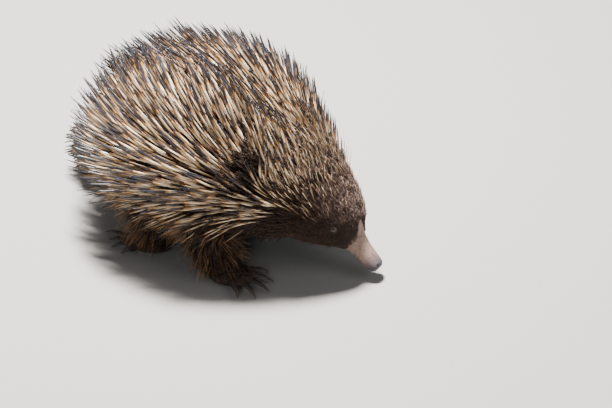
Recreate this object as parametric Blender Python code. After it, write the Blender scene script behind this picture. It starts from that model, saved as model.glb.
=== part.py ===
"""A short-beaked echidna, standing in mid-stride with its beak close to the ground.

Metres, +Z up. The animal faces +X, its left side is +Y, and its soles stand on Z = 0. The body is one long
form of elliptical sections along a bent line from the rump to the tip of the beak. It is divided across that
line into rump, torso, neck, head and beak. Legs, feet, claws, tail, eyes and ears are set on it or in it, each
a gap away. The solids reach the top of the close underfur. Spines and the legs' long locks grow out of them.
"""

import math
import random

import bmesh
import bpy
import numpy as np
from mathutils import Matrix, Vector
from mathutils.bvhtree import BVHTree

GAP = 0.0003
HALF_GAP = GAP / 2
BODY_SIDES = 24
TO_ORIGIN = Vector((-0.00585, 0.0125, 0.0))

# The body's sections, rump to beak tip. Each holds its centre, how far the line dips and turns left there
# in degrees, its half width, its rise above the centre and its drop below it. The skin here is bare of fur.
SECTIONS = (
    ((-0.1200, -0.0150, 0.074), 0, 0, 0.006, 0.006, 0.006),
    ((-0.1145, -0.0150, 0.075), 0, 0, 0.028, 0.025, 0.026),
    ((-0.0990, -0.0145, 0.078), 0, 0, 0.053, 0.044, 0.045),
    ((-0.0750, -0.0140, 0.085), 0, 0, 0.074, 0.057, 0.061),
    ((-0.0420, -0.0130, 0.092), 0, 0, 0.087, 0.069, 0.072),
    ((-0.0050, -0.0120, 0.095), 0, 0, 0.090, 0.075, 0.076),
    ((0.0340, -0.0110, 0.094), 1, 0, 0.084, 0.073, 0.074),
    ((0.0720, -0.0080, 0.088), 5, 1, 0.070, 0.064, 0.063),
    ((0.1020, -0.0020, 0.080), 15, 5, 0.057, 0.055, 0.049),
    ((0.1250, 0.0040, 0.0695), 27, 9, 0.0470, 0.0445, 0.037),
    ((0.1435, 0.0095, 0.0570), 36, 11, 0.0380, 0.0345, 0.0275),
    ((0.1575, 0.0125, 0.0470), 41, 12, 0.0275, 0.0245, 0.0190),
    ((0.1680, 0.0138, 0.0380), 43, 12, 0.0150, 0.0140, 0.0120),
    ((0.1765, 0.0152, 0.0300), 43, 12, 0.0116, 0.0102, 0.0094),
    ((0.1865, 0.0170, 0.0207), 43, 12, 0.0103, 0.0084, 0.0076),
    ((0.1935, 0.0185, 0.0142), 41, 12, 0.0091, 0.0070, 0.0064),
    ((0.1965, 0.0192, 0.0118), 41, 12, 0.0060, 0.0044, 0.0040),
)

# The body's lengths, each from one place on the line to the next, with how many rings of faces it has.
FUR_LINE, BEAK_END = 12.0, len(SECTIONS) - 1.0
LENGTHS = {
    "rump": (0.0, 3.35, 7),
    "torso": (3.35, 6.2, 6),
    "neck": (6.2, 8.45, 5),
    "head": (8.45, FUR_LINE, 8),
}
BEAK_LENGTH = (FUR_LINE, BEAK_END, 8)

# How much the trunk rolls towards its right foot as it walks, and where along the neck the roll ends.
ROLL = math.radians(7)
ROLL_FADES, ROLL_ENDS = 6.5, 10.0

# The close underfur, as a depth over the skin: on the back, the belly and the face.
FUR_BACK, FUR_BELLY, FUR_FACE = 0.013, 0.006, 0.0015
FACE_FROM, FACE_TO = 6.5, 11.0

# The spines of each length of the body: the stretch they cover, the spacing of their roots, how far they
# reach beyond the underfur and how thick they are there. They thin out and shorten from neck to crown.
SPINES = {
    "rump": (0.55, 3.35, 0.0156, 0.0430, 0.0018),
    "torso": (3.35, 6.2, 0.0166, 0.0410, 0.0018),
    "neck": (6.2, 8.45, 0.0149, 0.0350, 0.0016),
    "head": (8.45, 10.6, 0.0128, 0.0150, 0.0011),
}
SPINE_SINK, SPINE_SIDES = 0.0048, 3
# The lower edge of the spines, as an angle on the flank. It rises along the neck and leaves the throat bare.
LOWEST_SPINE, EDGE_RISE = math.radians(-36), math.radians(66)
EDGE_RISES_FROM, EDGE_RISES_TO = 7.2, 9.2
LOW_SPINE_SHORTER, LOW_SPINE_FADE = 0.25, 0.6
SEED = 7
LENGTH_VARIES, LEAN_VARIES, ROOT_VARIES = 0.16, 0.13, 0.24
SHORTER_TRY = 0.75
BEND_AT, BEND_WIDTH, BEND_SAG = 0.62, 0.80, 0.035
# How a spine leans, as shares of back along the body, out from it, and up towards the line of the back.
LEAN_BACK, LEAN_OUT, LEAN_UP = 0.74, 0.50, 0.52
# They lean up less down the flank, and droop at its lower edge. The ranges are degrees from the top.
RISING_OVER, FLANK_OVER, EDGE_OVER = (0, 14), (40, 80), (84, 124)
FLANK_LESS_UP, EDGE_DROOP = 0.6, 1.3
# On top of the rump, up to these places along and down the body, they stand more upright.
UPRIGHT_FADES_ALONG, UPRIGHT_FADES_DOWN = (3.4, 5.2), (35, 75)
UPRIGHT_LESS_BACK, UPRIGHT_MORE_OUT = 0.38, 0.30
REAR_ENDS, REAR_LESS_BACK, REAR_MORE_OUT = (0.5, 3.0), 0.5, 0.20
EAR_CLEAR = 0.0150
LOWEST_TIP = 0.004
TAIL_SPINES = (4, 8, 0.0240, 0.0016)
TAIL_SPINES_FROM, TAIL_SPINES_OVER = 1.1, 1.7
TAIL_LEAN_BACK, TAIL_LEAN_OUT = 0.80, 0.50

# The long locks of bristles on the legs: rows down the leg, locks in a row, reach, half width and flatness.
LOCK_ROWS, LOCKS_IN_ROW = 4, 8
LOCK_REACH, LOCK_HALF_WIDTH, LOCK_FLATNESS = 0.0200, 0.0040, 0.40
LOCKS_FROM, LOCKS_OVER = 0.75, 1.35
LOCKS_START_AT, LOCKS_GO_ROUND = math.radians(-62), math.radians(235)
LOCK_LEAN_OUT, LOCK_HANG = 0.62, Vector((-0.25, 0, -0.85))
LOCK_SHORTER_TRY = 0.7

EYE_RADIUS = 0.0042
EYE_ALONG, EYE_HEIGHT_ANGLE, EYE_RAISED = 10.38, math.radians(30), -0.0010
LID_THICKNESS, LID_STEPS = 0.0011, 10

EAR_ALONG, EAR_HEIGHT_ANGLE = 7.45, math.radians(40)
EAR_SIZE = Vector((0.0062, 0.0130, 0.0045))
EAR_SLIT = Vector((0.0026, 0.0095))
EAR_SINK, EAR_SLIT_DEPTH = 0.0035, 0.0050

TAIL_LINE = (
    ((-0.096, -0.016, 0.064), 0.028),
    ((-0.124, -0.020, 0.050), 0.023),
    ((-0.145, -0.022, 0.038), 0.016),
    ((-0.158, -0.023, 0.031), 0.008),
)

# Each leg from its root in the flank to the ankle, as centres and radii. Then its foot: the centre of the sole,
# the heading of the toes in degrees from straight ahead, and the paw's half length, half width and height.
LEGS = {
    "foreleg_right": (
        ((0.056, -0.050, 0.070), 0.030), ((0.047, -0.074, 0.046), 0.024), ((0.060, -0.077, 0.024), 0.0185),
        ((0.068, -0.077, 0.013), 0.0165),
    ),
    "foreleg_left": (
        ((0.052, 0.030, 0.070), 0.030), ((0.044, 0.056, 0.046), 0.024), ((0.058, 0.062, 0.024), 0.0185),
        ((0.066, 0.062, 0.013), 0.0165),
    ),
    "hindleg_right": (
        ((-0.046, -0.054, 0.066), 0.034), ((-0.025, -0.077, 0.046), 0.026), ((-0.015, -0.085, 0.024), 0.0185),
        ((-0.014, -0.085, 0.013), 0.0165),
    ),
    "hindleg_left": (
        ((-0.080, 0.034, 0.066), 0.034), ((-0.077, 0.062, 0.046), 0.026), ((-0.083, 0.072, 0.024), 0.0185),
        ((-0.084, 0.073, 0.013), 0.0165),
    ),
}
FEET = {
    "forefoot_right": ((0.078, -0.078), 6, 0.0230, 0.0190, 0.0165),
    "forefoot_left": ((0.076, 0.064), 8, 0.0230, 0.0190, 0.0165),
    "hindfoot_right": ((-0.016, -0.088), -146, 0.0220, 0.0165, 0.0160),
    "hindfoot_left": ((-0.087, 0.078), 146, 0.0220, 0.0165, 0.0160),
}
PAW_MIDDLE, PAW_RISE = 0.30, 0.72
TOE_SPREAD = {"fore": (-44, -22, 0, 22, 44), "hind": (-40, -18, 0, 20, 42)}
CLAW_LENGTH = {"fore": (0.015, 0.022, 0.024, 0.021, 0.014), "hind": (0.009, 0.028, 0.020, 0.016, 0.011)}
TOE_REACH, TOE_RADIUS, TOE_HEIGHT, TOE_SIDES = 0.0065, 0.0048, 0.0062, 7
TOE_FAN, TOE_DIP = 0.9, 0.10
CLAW_HALF_WIDTH = {"fore": 0.0034, "hind": 0.0030}
CLAW_TIP_HEIGHT, CLAW_ARCH = 0.0022, 0.0013
CLAW_BEND = {"fore": 0.063, "hind": 0.090}
CLAW_NARROWS, CLAW_THINS, CLAW_FLATNESS = 0.72, 0.62, 0.66
CLAW_STEPS, CLAW_SIDES = 4, 6

COLOURS = {
    "spines": ((0.42, 0.31, 0.18), 0.55),
    "fur": ((0.045, 0.028, 0.020), 0.85),
    "beak": ((0.30, 0.24, 0.23), 0.60),
    "sole": ((0.10, 0.08, 0.075), 0.70),
    "horn": ((0.055, 0.048, 0.045), 0.35),
    "eye": ((0.010, 0.008, 0.008), 0.08),
}


def clear_scene():
    for obj in list(bpy.data.objects):
        bpy.data.objects.remove(obj)


def material(name):
    found = bpy.data.materials.get(name)
    if found:
        return found
    colour, roughness = COLOURS[name]
    made = bpy.data.materials.new(name)
    made.use_nodes = True
    shader = made.node_tree.nodes["Principled BSDF"]
    shader.inputs["Base Color"].default_value = (*colour, 1)
    shader.inputs["Roughness"].default_value = roughness
    return made


def new_object(name, bm, finish, collection=None):
    bmesh.ops.recalc_face_normals(bm, faces=bm.faces)
    mesh = bpy.data.meshes.new(name)
    bm.to_mesh(mesh)
    bm.free()
    obj = bpy.data.objects.new(name, mesh)
    mesh.materials.append(material(finish))
    (collection or bpy.context.scene.collection).objects.link(obj)
    return obj


def smooth_step(value, low, high):
    share = min(1.0, max(0.0, (value - low) / (high - low)))
    return share * share * (3 - 2 * share)


def along(values, t):
    """The values, one to each whole number of t, read between them on a smooth curve."""
    last = len(values) - 1
    i = min(int(max(t, 0)), last - 1)
    share = min(max(t, 0), last) - i
    near = [min(max(k, 0), last) for k in range(i - 1, i + 3)]
    before, here, after, beyond = (np.array(values[k], float) for k in near)
    slope_here, slope_after = (after - before) / 2, (beyond - here) / 2
    s2, s3 = share * share, share**3
    return (
        (2 * s3 - 3 * s2 + 1) * here + (s3 - 2 * s2 + share) * slope_here
        + (3 * s2 - 2 * s3) * after + (s3 - s2) * slope_after
    )


FLAT_SECTIONS = [(*centre, *rest) for centre, *rest in SECTIONS]


class Section:
    """The cross-section of the body at t: its centre, its three directions and its sizes."""

    def __init__(self, t):
        x, y, z, dip, turn, self.half_width, self.rise, self.drop = along(FLAT_SECTIONS, t)
        self.t = t
        self.centre = Vector((x, y, z))
        self.roll = ROLL * (1 - smooth_step(t, ROLL_FADES, ROLL_ENDS))
        turned = Matrix.Rotation(math.radians(turn), 3, "Z") @ Matrix.Rotation(math.radians(dip), 3, "Y")
        rolled = turned @ Matrix.Rotation(self.roll, 3, "X")
        self.forward, self.side, self.up = rolled.col[0], rolled.col[1], rolled.col[2]

    def fur(self, angle):
        """The depth of the underfur: full on the back, thin under the belly, least on the face."""
        on_back = smooth_step(math.sin(angle), -0.85, -0.25)
        trunk = FUR_BELLY + (FUR_BACK - FUR_BELLY) * on_back
        share = smooth_step(self.t, FACE_FROM, FACE_TO)
        return trunk * (1 - share) + FUR_FACE * share

    def point(self, angle, raised=0.0):
        """The skin's point at an angle, 0 on the left and a quarter turn on the back, raised by that much."""
        height = self.rise if math.sin(angle) > 0 else self.drop
        return (
            self.centre
            + self.side * math.cos(angle) * (self.half_width + raised)
            + self.up * math.sin(angle) * (height + raised)
        )


def loft(bm, rings, close_start=True, close_end=True):
    """Bridges rings of equal length, each a list of points, and fills the two ends."""
    loops = []
    for ring in rings:
        made = bmesh.ops.create_circle(bm, segments=len(ring), radius=1.0)["verts"]
        for vert, place in zip(made, ring):
            vert.co = place
        loops.append([e for e in {e for v in made for e in v.link_edges}])
    for first, second in zip(loops, loops[1:]):
        bmesh.ops.bridge_loops(bm, edges=first + second)
    for loop, wanted in ((loops[0], close_start), (loops[-1], close_end)):
        if wanted:
            bmesh.ops.contextual_create(bm, geom=loop)
    return bm


def body_mesh(rings):
    """A loft with every face parted the same way, so that a grown copy follows it closely."""
    bm = loft(bmesh.new(), rings)
    bmesh.ops.triangulate(bm, faces=[f for f in bm.faces if len(f.verts) == 4], quad_method="SHORT_EDGE")
    return bm


def body_ring(t, shift=0.0, grown=0.0, furred=True, sides=BODY_SIDES):
    section = Section(t)
    ring = []
    for k in range(sides):
        angle = math.tau * k / sides
        raised = (section.fur(angle) if furred else 0.0) + grown
        ring.append(section.point(angle, raised) + section.forward * shift)
    return ring


def ring_places(start, end, steps):
    return [start + (end - start) * k / steps for k in range(steps + 1)]


def body_length(name, length, finish, furred=True, sides=BODY_SIDES):
    """One length of the body, from one cut to the next, each set back from the cut by half a gap."""
    places = ring_places(*length)
    rings = []
    for t in places:
        at_start = t == places[0] and t > 0
        at_end = t == places[-1] and t < BEAK_END
        shift = HALF_GAP if at_start else -HALF_GAP if at_end else 0.0
        rings.append(body_ring(t, shift, 0.0, furred, sides))
    return new_object(name, body_mesh(rings), finish)


def whole_body(grown):
    """All four furred lengths as one, a little larger, to cut what grows from the body."""
    places = sorted({t for length in LENGTHS.values() for t in ring_places(*length)})
    rings = [body_ring(t, 0.0, grown) for t in places]
    return new_object("body_cutter", body_mesh(rings), "fur")


def tube(bm, line, sides=12, end_dome=False):
    """A limb or tail: round sections along a line of centres and radii, read on a smooth curve."""
    values = [(*centre, radius) for centre, radius in line]
    steps = 3 * (len(line) - 1)
    places = [along(values, (len(line) - 1) * k / steps) for k in range(steps + 1)]
    rings = []
    for k, (x, y, z, radius) in enumerate(places):
        ahead = places[min(k + 1, steps)]
        behind = places[max(k - 1, 0)]
        direction = Vector(ahead[:3] - behind[:3]).normalized()
        turn = Vector((0, 0, 1)).rotation_difference(direction).to_matrix()
        centre = Vector((x, y, z))
        rings.append([
            centre + turn @ Vector((math.cos(a), math.sin(a), 0)) * radius
            for a in (math.tau * i / sides for i in range(sides))
        ])
        if end_dome and k == steps:
            for share in (0.7, 1.0):
                small = radius * math.sqrt(max(0.02, 1 - share * share))
                top = centre + direction * radius * share
                rings.append([top + (place - centre) * small / radius for place in rings[steps]])
    return loft(bm, rings)


def apply_boolean(obj, other, operation, solver="EXACT"):
    """Joins or cuts obj by another object or by a collection of objects, which are then removed."""
    modifier = obj.modifiers.new("join", "BOOLEAN")
    modifier.operation = operation
    modifier.solver = solver
    several = isinstance(other, bpy.types.Collection)
    modifier.operand_type = "COLLECTION" if several else "OBJECT"
    if several:
        modifier.collection = other
    else:
        modifier.object = other
    bpy.context.view_layer.update()
    evaluated = obj.evaluated_get(bpy.context.evaluated_depsgraph_get())
    mesh = bpy.data.meshes.new_from_object(evaluated)
    obj.modifiers.remove(modifier)
    obj.data = mesh
    for used in list(other.objects) if several else [other]:
        bpy.data.objects.remove(used)
    if several:
        bpy.data.collections.remove(other)


def keep_largest(obj):
    """Leaves only the largest closed surface of a node."""
    bm = bmesh.new()
    bm.from_mesh(obj.data)
    left, shells = set(bm.faces), []
    while left:
        shell, front = [], [left.pop()]
        while front:
            face = front.pop()
            shell.append(face)
            joined = {other for e in face.edges if len(e.link_faces) == 2 for other in e.link_faces}
            front += joined & left
            left -= joined
        shells.append(shell)
    shells.sort(key=len)
    for shell in shells[:-1]:
        bmesh.ops.delete(bm, geom=shell, context="FACES")
    bm.to_mesh(obj.data)
    bm.free()


def copy_of(obj):
    made = obj.copy()
    made.data = obj.data.copy()
    bpy.context.scene.collection.objects.link(made)
    return made


def eye_centre(side):
    angle = EYE_HEIGHT_ANGLE if side > 0 else math.pi - EYE_HEIGHT_ANGLE
    return Section(EYE_ALONG).point(angle, EYE_RAISED)


def ball(name, centre, radius, finish, segments=12, rings=8, stretch=(1, 1, 1), turn=None):
    bm = bmesh.new()
    bmesh.ops.create_uvsphere(bm, u_segments=segments, v_segments=rings, radius=1.0)
    turn = (turn or Matrix.Identity(3)).to_4x4()
    size = Matrix.Diagonal((*(radius * s for s in stretch), 1))
    bmesh.ops.transform(bm, matrix=Matrix.Translation(centre) @ turn @ size, verts=bm.verts)
    return new_object(name, bm, finish)


def lid_ring(name, side):
    """The thick rim of the lids round one eye."""
    centre = eye_centre(side)
    section = Section(EYE_ALONG)
    outward = (section.side * side * 0.86 + section.up * 0.36 + section.forward * 0.36).normalized()
    turn = Vector((0, 0, 1)).rotation_difference(outward).to_matrix()
    bm = bmesh.new()
    rings = []
    for k in range(LID_STEPS):
        a = math.tau * k / LID_STEPS
        spoke = turn @ Vector((math.cos(a), math.sin(a), 0))
        mid = centre + spoke * EYE_RADIUS * 0.93 + outward * EYE_RADIUS * 0.42
        rings.append([
            mid + (spoke * math.cos(b) + outward * math.sin(b)) * LID_THICKNESS
            for b in (math.tau * i / 5 for i in range(5))
        ])
    loft(bm, rings, False, False)
    loops = [e for e in bm.edges if e.is_boundary]
    bmesh.ops.bridge_loops(bm, edges=loops)
    return new_object(name, bm, "fur")


def beak_tip_frame():
    section = Section(BEAK_END - 1)
    return section.centre, section.forward, section.side, section.up, section


def build_beak():
    beak = body_length("beak", BEAK_LENGTH, "beak", furred=False, sides=20)
    centre, forward, left, up, section = beak_tip_frame()
    for side in (-1, 1):
        place = centre - forward * 0.0035 + left * side * 0.0024 + up * section.rise * 1.02
        turn = Matrix((forward, left, up)).transposed()
        pit = ball("nostril_cutter", place, 0.0012, "beak", 8, 6, (1.9, 0.75, 1.2), turn)
        apply_boolean(beak, pit, "DIFFERENCE")
    bm = bmesh.new()
    bmesh.ops.create_cube(bm, size=1.0)
    turn = Matrix((forward, left, up)).transposed().to_4x4()
    slit = centre - forward * 0.001 - up * section.drop * 0.36
    size = Matrix.Diagonal((0.012, 0.030, 0.0006, 1))
    bmesh.ops.transform(bm, matrix=Matrix.Translation(slit) @ turn @ size, verts=bm.verts)
    apply_boolean(beak, new_object("mouth_cutter", bm, "beak"), "DIFFERENCE")
    keep_largest(beak)
    return beak


def build_head():
    head = body_length("head", LENGTHS["head"], "fur")
    for side in (-1, 1):
        apply_boolean(head, lid_ring("lid", side), "UNION")
        socket = ball("socket_cutter", eye_centre(side), EYE_RADIUS + GAP, "fur", 14, 10)
        apply_boolean(head, socket, "DIFFERENCE")
    keep_largest(head)
    return head


def ear_turn(side):
    """Where an ear sits on the neck and the turn that stands its slit upright, facing out."""
    section = Section(EAR_ALONG)
    angle = EAR_HEIGHT_ANGLE if side > 0 else math.pi - EAR_HEIGHT_ANGLE
    place = section.point(angle, section.fur(angle))
    ahead = Section(EAR_ALONG + 0.05).point(angle, section.fur(angle)) - place
    around = section.point(angle + 0.05, section.fur(angle + 0.05)) - place
    outward = ahead.cross(around).normalized()
    upright = (around * side - outward * outward.dot(around * side)).normalized()
    return place, Matrix((upright.cross(outward), upright, outward)).transposed()


def ear_block(name, side, grown):
    """An ear's oval cup, set into the neck and standing a little proud of the fur."""
    place, turn = ear_turn(side)
    bm = bmesh.new()
    rings = []
    for height, share in ((-EAR_SINK, 0.86), (0.0, 1.0), (EAR_SIZE.z * 0.7, 0.94), (EAR_SIZE.z, 0.70)):
        extra = -grown if height < 0 else 0.0
        rings.append([
            place + turn @ Vector((
                math.cos(a) * (EAR_SIZE.x * share + grown),
                math.sin(a) * (EAR_SIZE.y * share + grown),
                height + extra,
            ))
            for a in (math.tau * k / 16 for k in range(16))
        ])
    return new_object(name, loft(bm, rings), "fur")


def build_ear(name, side):
    ear = ear_block(name, side, 0.0)
    place, turn = ear_turn(side)
    bm = bmesh.new()
    rings = [
        [
            place + turn @ Vector((math.cos(a) * EAR_SLIT.x * wide, math.sin(a) * EAR_SLIT.y * wide, height))
            for a in (math.tau * k / 10 for k in range(10))
        ]
        for height, wide in ((EAR_SIZE.z - EAR_SLIT_DEPTH, 0.75), (EAR_SIZE.z + 0.002, 1.1))
    ]
    apply_boolean(ear, new_object("slit_cutter", loft(bm, rings), "fur"), "DIFFERENCE")
    return ear


def build_paw(name):
    """A foot with a flat sole, and a stub for each toe that ends in a flat face for its claw."""
    (x, y), heading, half_length, half_width, height = FEET[name]
    kind = name[:4]
    turn = Matrix.Rotation(math.radians(heading), 3, "Z")
    middle = Vector((x, y, height * PAW_MIDDLE))
    sizes = (half_length, half_width, height * PAW_RISE)
    paw = ball(name, middle, 1.0, "sole", 14, 8, sizes, turn)
    toes = bpy.data.collections.new("toes")
    for k, spread in enumerate(TOE_SPREAD[kind]):
        root, end, direction = toe_line(name, k)
        bm = bmesh.new()
        across = Vector((-direction.y, direction.x, 0)).normalized()
        above = direction.cross(across)
        rings = [
            [
                centre + (across * math.cos(a) + above * math.sin(a)) * TOE_RADIUS * wide
                for a in (math.tau * i / TOE_SIDES for i in range(TOE_SIDES))
            ]
            for centre, wide in ((root, 1.15), (root.lerp(end, 0.6), 1.12), (end, 0.88))
        ]
        new_object(f"toe_{k}", loft(bm, rings), "sole", toes)
    apply_boolean(paw, toes, "UNION")
    bm = bmesh.new()
    bm.from_mesh(paw.data)
    everything = bm.verts[:] + bm.edges[:] + bm.faces[:]
    cut = bmesh.ops.bisect_plane(
        bm, geom=everything, plane_co=(0, 0, 0), plane_no=(0, 0, 1), clear_inner=True
    )
    edges = [e for e in cut["geom_cut"] if isinstance(e, bmesh.types.BMEdge)]
    bmesh.ops.contextual_create(bm, geom=edges)
    bm.to_mesh(paw.data)
    bm.free()
    keep_largest(paw)
    return paw


def toe_line(name, k):
    """The root and the flat end of a toe, and the way it points."""
    (x, y), heading, half_length, half_width, _ = FEET[name]
    angle = math.radians(TOE_SPREAD[name[:4]][k])
    turn = Matrix.Rotation(math.radians(heading), 3, "Z")
    out = turn @ Vector((math.cos(angle), math.sin(angle) * TOE_FAN, -TOE_DIP)).normalized()
    on_rim = Vector((math.cos(angle) * half_length, math.sin(angle) * half_width, 0))
    rim = Vector((x, y, TOE_HEIGHT)) + turn @ on_rim
    flat = Vector((out.x, out.y, 0)).normalized()
    return rim - flat * half_width * 0.5, rim + flat * TOE_REACH, out


def build_claw(foot, k):
    """A horn claw, set on the toe's flat end: broad at the root, arched, and tapering to a blunt point."""
    _, end, direction = toe_line(foot, k)
    kind = foot[:4]
    length, half_width = CLAW_LENGTH[kind][k], CLAW_HALF_WIDTH[kind]
    across = Vector((-direction.y, direction.x, 0)).normalized()
    bend = CLAW_BEND[kind] * (1 if foot.endswith("left") else -1)
    rings = []
    for i in range(CLAW_STEPS + 1):
        share = i / CLAW_STEPS
        centre = end + direction * (GAP + length * share)
        centre.z = end.z + (CLAW_TIP_HEIGHT - end.z) * share * share + CLAW_ARCH * math.sin(math.pi * share)
        centre += across * bend * length * share * share
        wide = half_width * (1 - CLAW_NARROWS * share**1.6)
        thick = half_width * CLAW_FLATNESS * (1 - CLAW_THINS * share**1.4)
        above = direction.cross(across)
        rings.append([
            centre + across * math.cos(a) * wide + above * math.sin(a) * thick
            for a in (math.tau * j / CLAW_SIDES for j in range(CLAW_SIDES))
        ])
    claw = new_object(f"claw_{foot}_{k + 1}", loft(bmesh.new(), rings), "horn")
    return claw


def surface(t, angle):
    """The place on the underfur at t and angle, and the ways out, back and up to the line of the back."""
    step = 0.02

    def place(along_line, around):
        section = Section(along_line)
        return section.point(around, section.fur(around))

    here = place(t, angle)
    back = (place(t - step, angle) - place(t + step, angle)).normalized()
    up = (place(t, angle + step) - place(t, angle - step)).normalized()
    if angle > math.pi / 2:
        up.negate()
    out = up.cross(back) if angle > math.pi / 2 else back.cross(up)
    return here, out.normalized(), back, up


def spine_lean(t, angle, chance):
    """The way a spine points: back, out and up the flanks towards the line of the back, with some chance."""
    place, out, back, up = surface(t, angle)
    from_top = math.degrees(abs(angle - math.pi / 2))
    rising = smooth_step(from_top, *RISING_OVER) - FLANK_LESS_UP * smooth_step(from_top, *FLANK_OVER)
    rising -= EDGE_DROOP * smooth_step(from_top, *EDGE_OVER)
    upright = 1 - smooth_step(t, *UPRIGHT_FADES_ALONG)
    upright *= 1 - smooth_step(from_top, *UPRIGHT_FADES_DOWN)
    rear = 1 - smooth_step(t, *REAR_ENDS)
    backward = (LEAN_BACK - UPRIGHT_LESS_BACK * upright) * (1 - REAR_LESS_BACK * rear)
    outward = LEAN_OUT + UPRIGHT_MORE_OUT * upright + REAR_MORE_OUT * rear
    lean = back * backward + out * outward + up * LEAN_UP * rising
    lean += Vector(chance.uniform(-LEAN_VARIES, LEAN_VARIES) for _ in range(3))
    return place, lean.normalized()


def spine_rows(start, end, spacing):
    """The places along the body where a row of spines stands, an even way apart over the coat."""
    step, gone, rows = 0.02, 0.5 * spacing, []
    angles = [math.radians(a) for a in (15, 90, 165)]
    t = start
    while t < end:
        here, there = Section(t), Section(t + step)
        moved = [(there.point(a, there.fur(a)) - here.point(a, here.fur(a))).length for a in angles]
        gone += sum(moved) / len(moved)
        t += step
        if gone >= spacing:
            rows.append(t)
            gone -= spacing
    return rows


class Coat:
    """Keeps every spine and lock clear of the other nodes, of the floor and of each other."""

    def __init__(self, nodes):
        deps = bpy.context.evaluated_depsgraph_get()
        self.trees = {name: BVHTree.FromObject(obj, deps) for name, obj in nodes.items()}
        self.ears = [ear_turn(side)[0] for side in (-1, 1)]
        self.starts, self.ends, self.radii = [], [], []

    def clear(self, node, root, tip, radius):
        if tip.z < LOWEST_TIP or min((root - ear).length for ear in self.ears) < EAR_CLEAR:
            return False
        places = [root.lerp(tip, k / 14) for k in range(15)]
        for name, tree in self.trees.items():
            if name == node:
                continue
            for k, place in enumerate(places):
                slim = radius * (1 - 0.6 * k / 14)
                if tree.find_nearest(place, slim + 1.5 * GAP)[0] is not None:
                    return False
        return self.clear_of_others(places, radius)

    def clear_of_others(self, places, radius):
        if not self.starts:
            return True
        starts, ends, radii = np.array(self.starts), np.array(self.ends), np.array(self.radii)
        lines = ends - starts
        lengths = (lines * lines).sum(1)
        for place in places:
            share = np.clip(((np.array(place) - starts) * lines).sum(1) / lengths, 0, 1)
            gaps = np.linalg.norm(starts + lines * share[:, None] - np.array(place), axis=1)
            if (gaps < radii * (1 - 0.5 * share) + radius + GAP).any():
                return False
        return True

    def add(self, root, tip, radius):
        self.starts.append(tuple(root))
        self.ends.append(tuple(tip))
        self.radii.append(radius)


def grown_piece(name, root, tip, sag, radius, sides, flatness, collection):
    """A closed tapering piece from its sunk root through a slight bend to its point."""
    bend = root.lerp(tip, BEND_AT) + sag
    turn = (bend - root).to_track_quat("Z", "Y").to_matrix()
    rings = [
        [
            centre + turn @ Vector((math.cos(a), math.sin(a) * flatness, 0)) * wide
            for a in (math.tau * k / sides for k in range(sides))
        ]
        for centre, wide in ((root, radius), (bend, radius * BEND_WIDTH))
    ]
    bm = loft(bmesh.new(), rings)
    end = min(bm.faces, key=lambda face: (face.calc_center_median() - bend).length)
    bmesh.ops.poke(bm, faces=[end])["verts"][0].co = tip
    return new_object(name, bm, "spines", collection)


def grow_spines(nodes, coat, name, chance):
    """Roots the spines of one length of the body in rows round it, and joins them to it."""
    start, end, spacing, reach, radius = SPINES[name]
    grown = bpy.data.collections.new("spines")
    for number, t in enumerate(spine_rows(start, end, spacing)):
        section = Section(t)
        low = LOWEST_SPINE + EDGE_RISE * smooth_step(t, EDGE_RISES_FROM, EDGE_RISES_TO)
        round_it = (math.pi - 2 * low) * (section.half_width + section.rise + 2 * FUR_BACK) / 2
        count = max(3, round(round_it / spacing))
        for k in range(count):
            shift = 0.5 * (number % 2) + chance.uniform(-ROOT_VARIES, ROOT_VARIES)
            angle = low + (math.pi - 2 * low) * (k + 0.25 + shift) / count
            place, lean = spine_lean(t, angle, chance)
            shorter = 1 - LOW_SPINE_SHORTER * smooth_step(-math.sin(angle), 0.0, LOW_SPINE_FADE)
            length = reach * shorter * chance.uniform(1 - LENGTH_VARIES, 1 + LENGTH_VARIES)
            for try_length in (length, length * SHORTER_TRY):
                root, tip = place - lean * SPINE_SINK, place + lean * try_length
                if coat.clear(name, root, tip, radius):
                    coat.add(root, tip, radius)
                    sag = Vector((0, 0, BEND_SAG * try_length))
                    grown_piece("spine", root, tip, sag, radius, SPINE_SIDES, 1.0, grown)
                    break
    join_grown(nodes[name], grown)


def join_grown(obj, grown):
    if len(grown.objects):
        apply_boolean(obj, grown, "UNION")
    keep_largest(obj)


def grow_tail_spines(nodes, coat, chance):
    rows, in_row, reach, thickness = TAIL_SPINES
    grown = bpy.data.collections.new("tail_spines")
    tree = coat.trees["tail"]
    line = [centre for centre, radius in TAIL_LINE]
    for row in range(rows):
        here = Vector(along(line, TAIL_SPINES_FROM + TAIL_SPINES_OVER * row / (rows - 1)))
        ahead = Vector(along(line, TAIL_SPINES_FROM + 0.1 + TAIL_SPINES_OVER * row / (rows - 1)))
        back = (ahead - here).normalized()
        for k in range(in_row):
            a = math.tau * (k + 0.5 * (row % 2)) / in_row
            spoke = Vector((0, math.cos(a), math.sin(a)))
            out = (spoke - back * back.dot(spoke)).normalized()
            place = tree.ray_cast(here, out)[0]
            if place is None:
                continue
            lean = (back * TAIL_LEAN_BACK + out * TAIL_LEAN_OUT).normalized()
            length = reach * chance.uniform(1 - LENGTH_VARIES, 1 + LENGTH_VARIES)
            root, tip = place - lean * SPINE_SINK, place + lean * length
            if coat.clear("tail", root, tip, thickness):
                coat.add(root, tip, thickness)
                grown_piece("spine", root, tip, Vector(), thickness, SPINE_SIDES, 1.0, grown)
    join_grown(nodes["tail"], grown)


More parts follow.
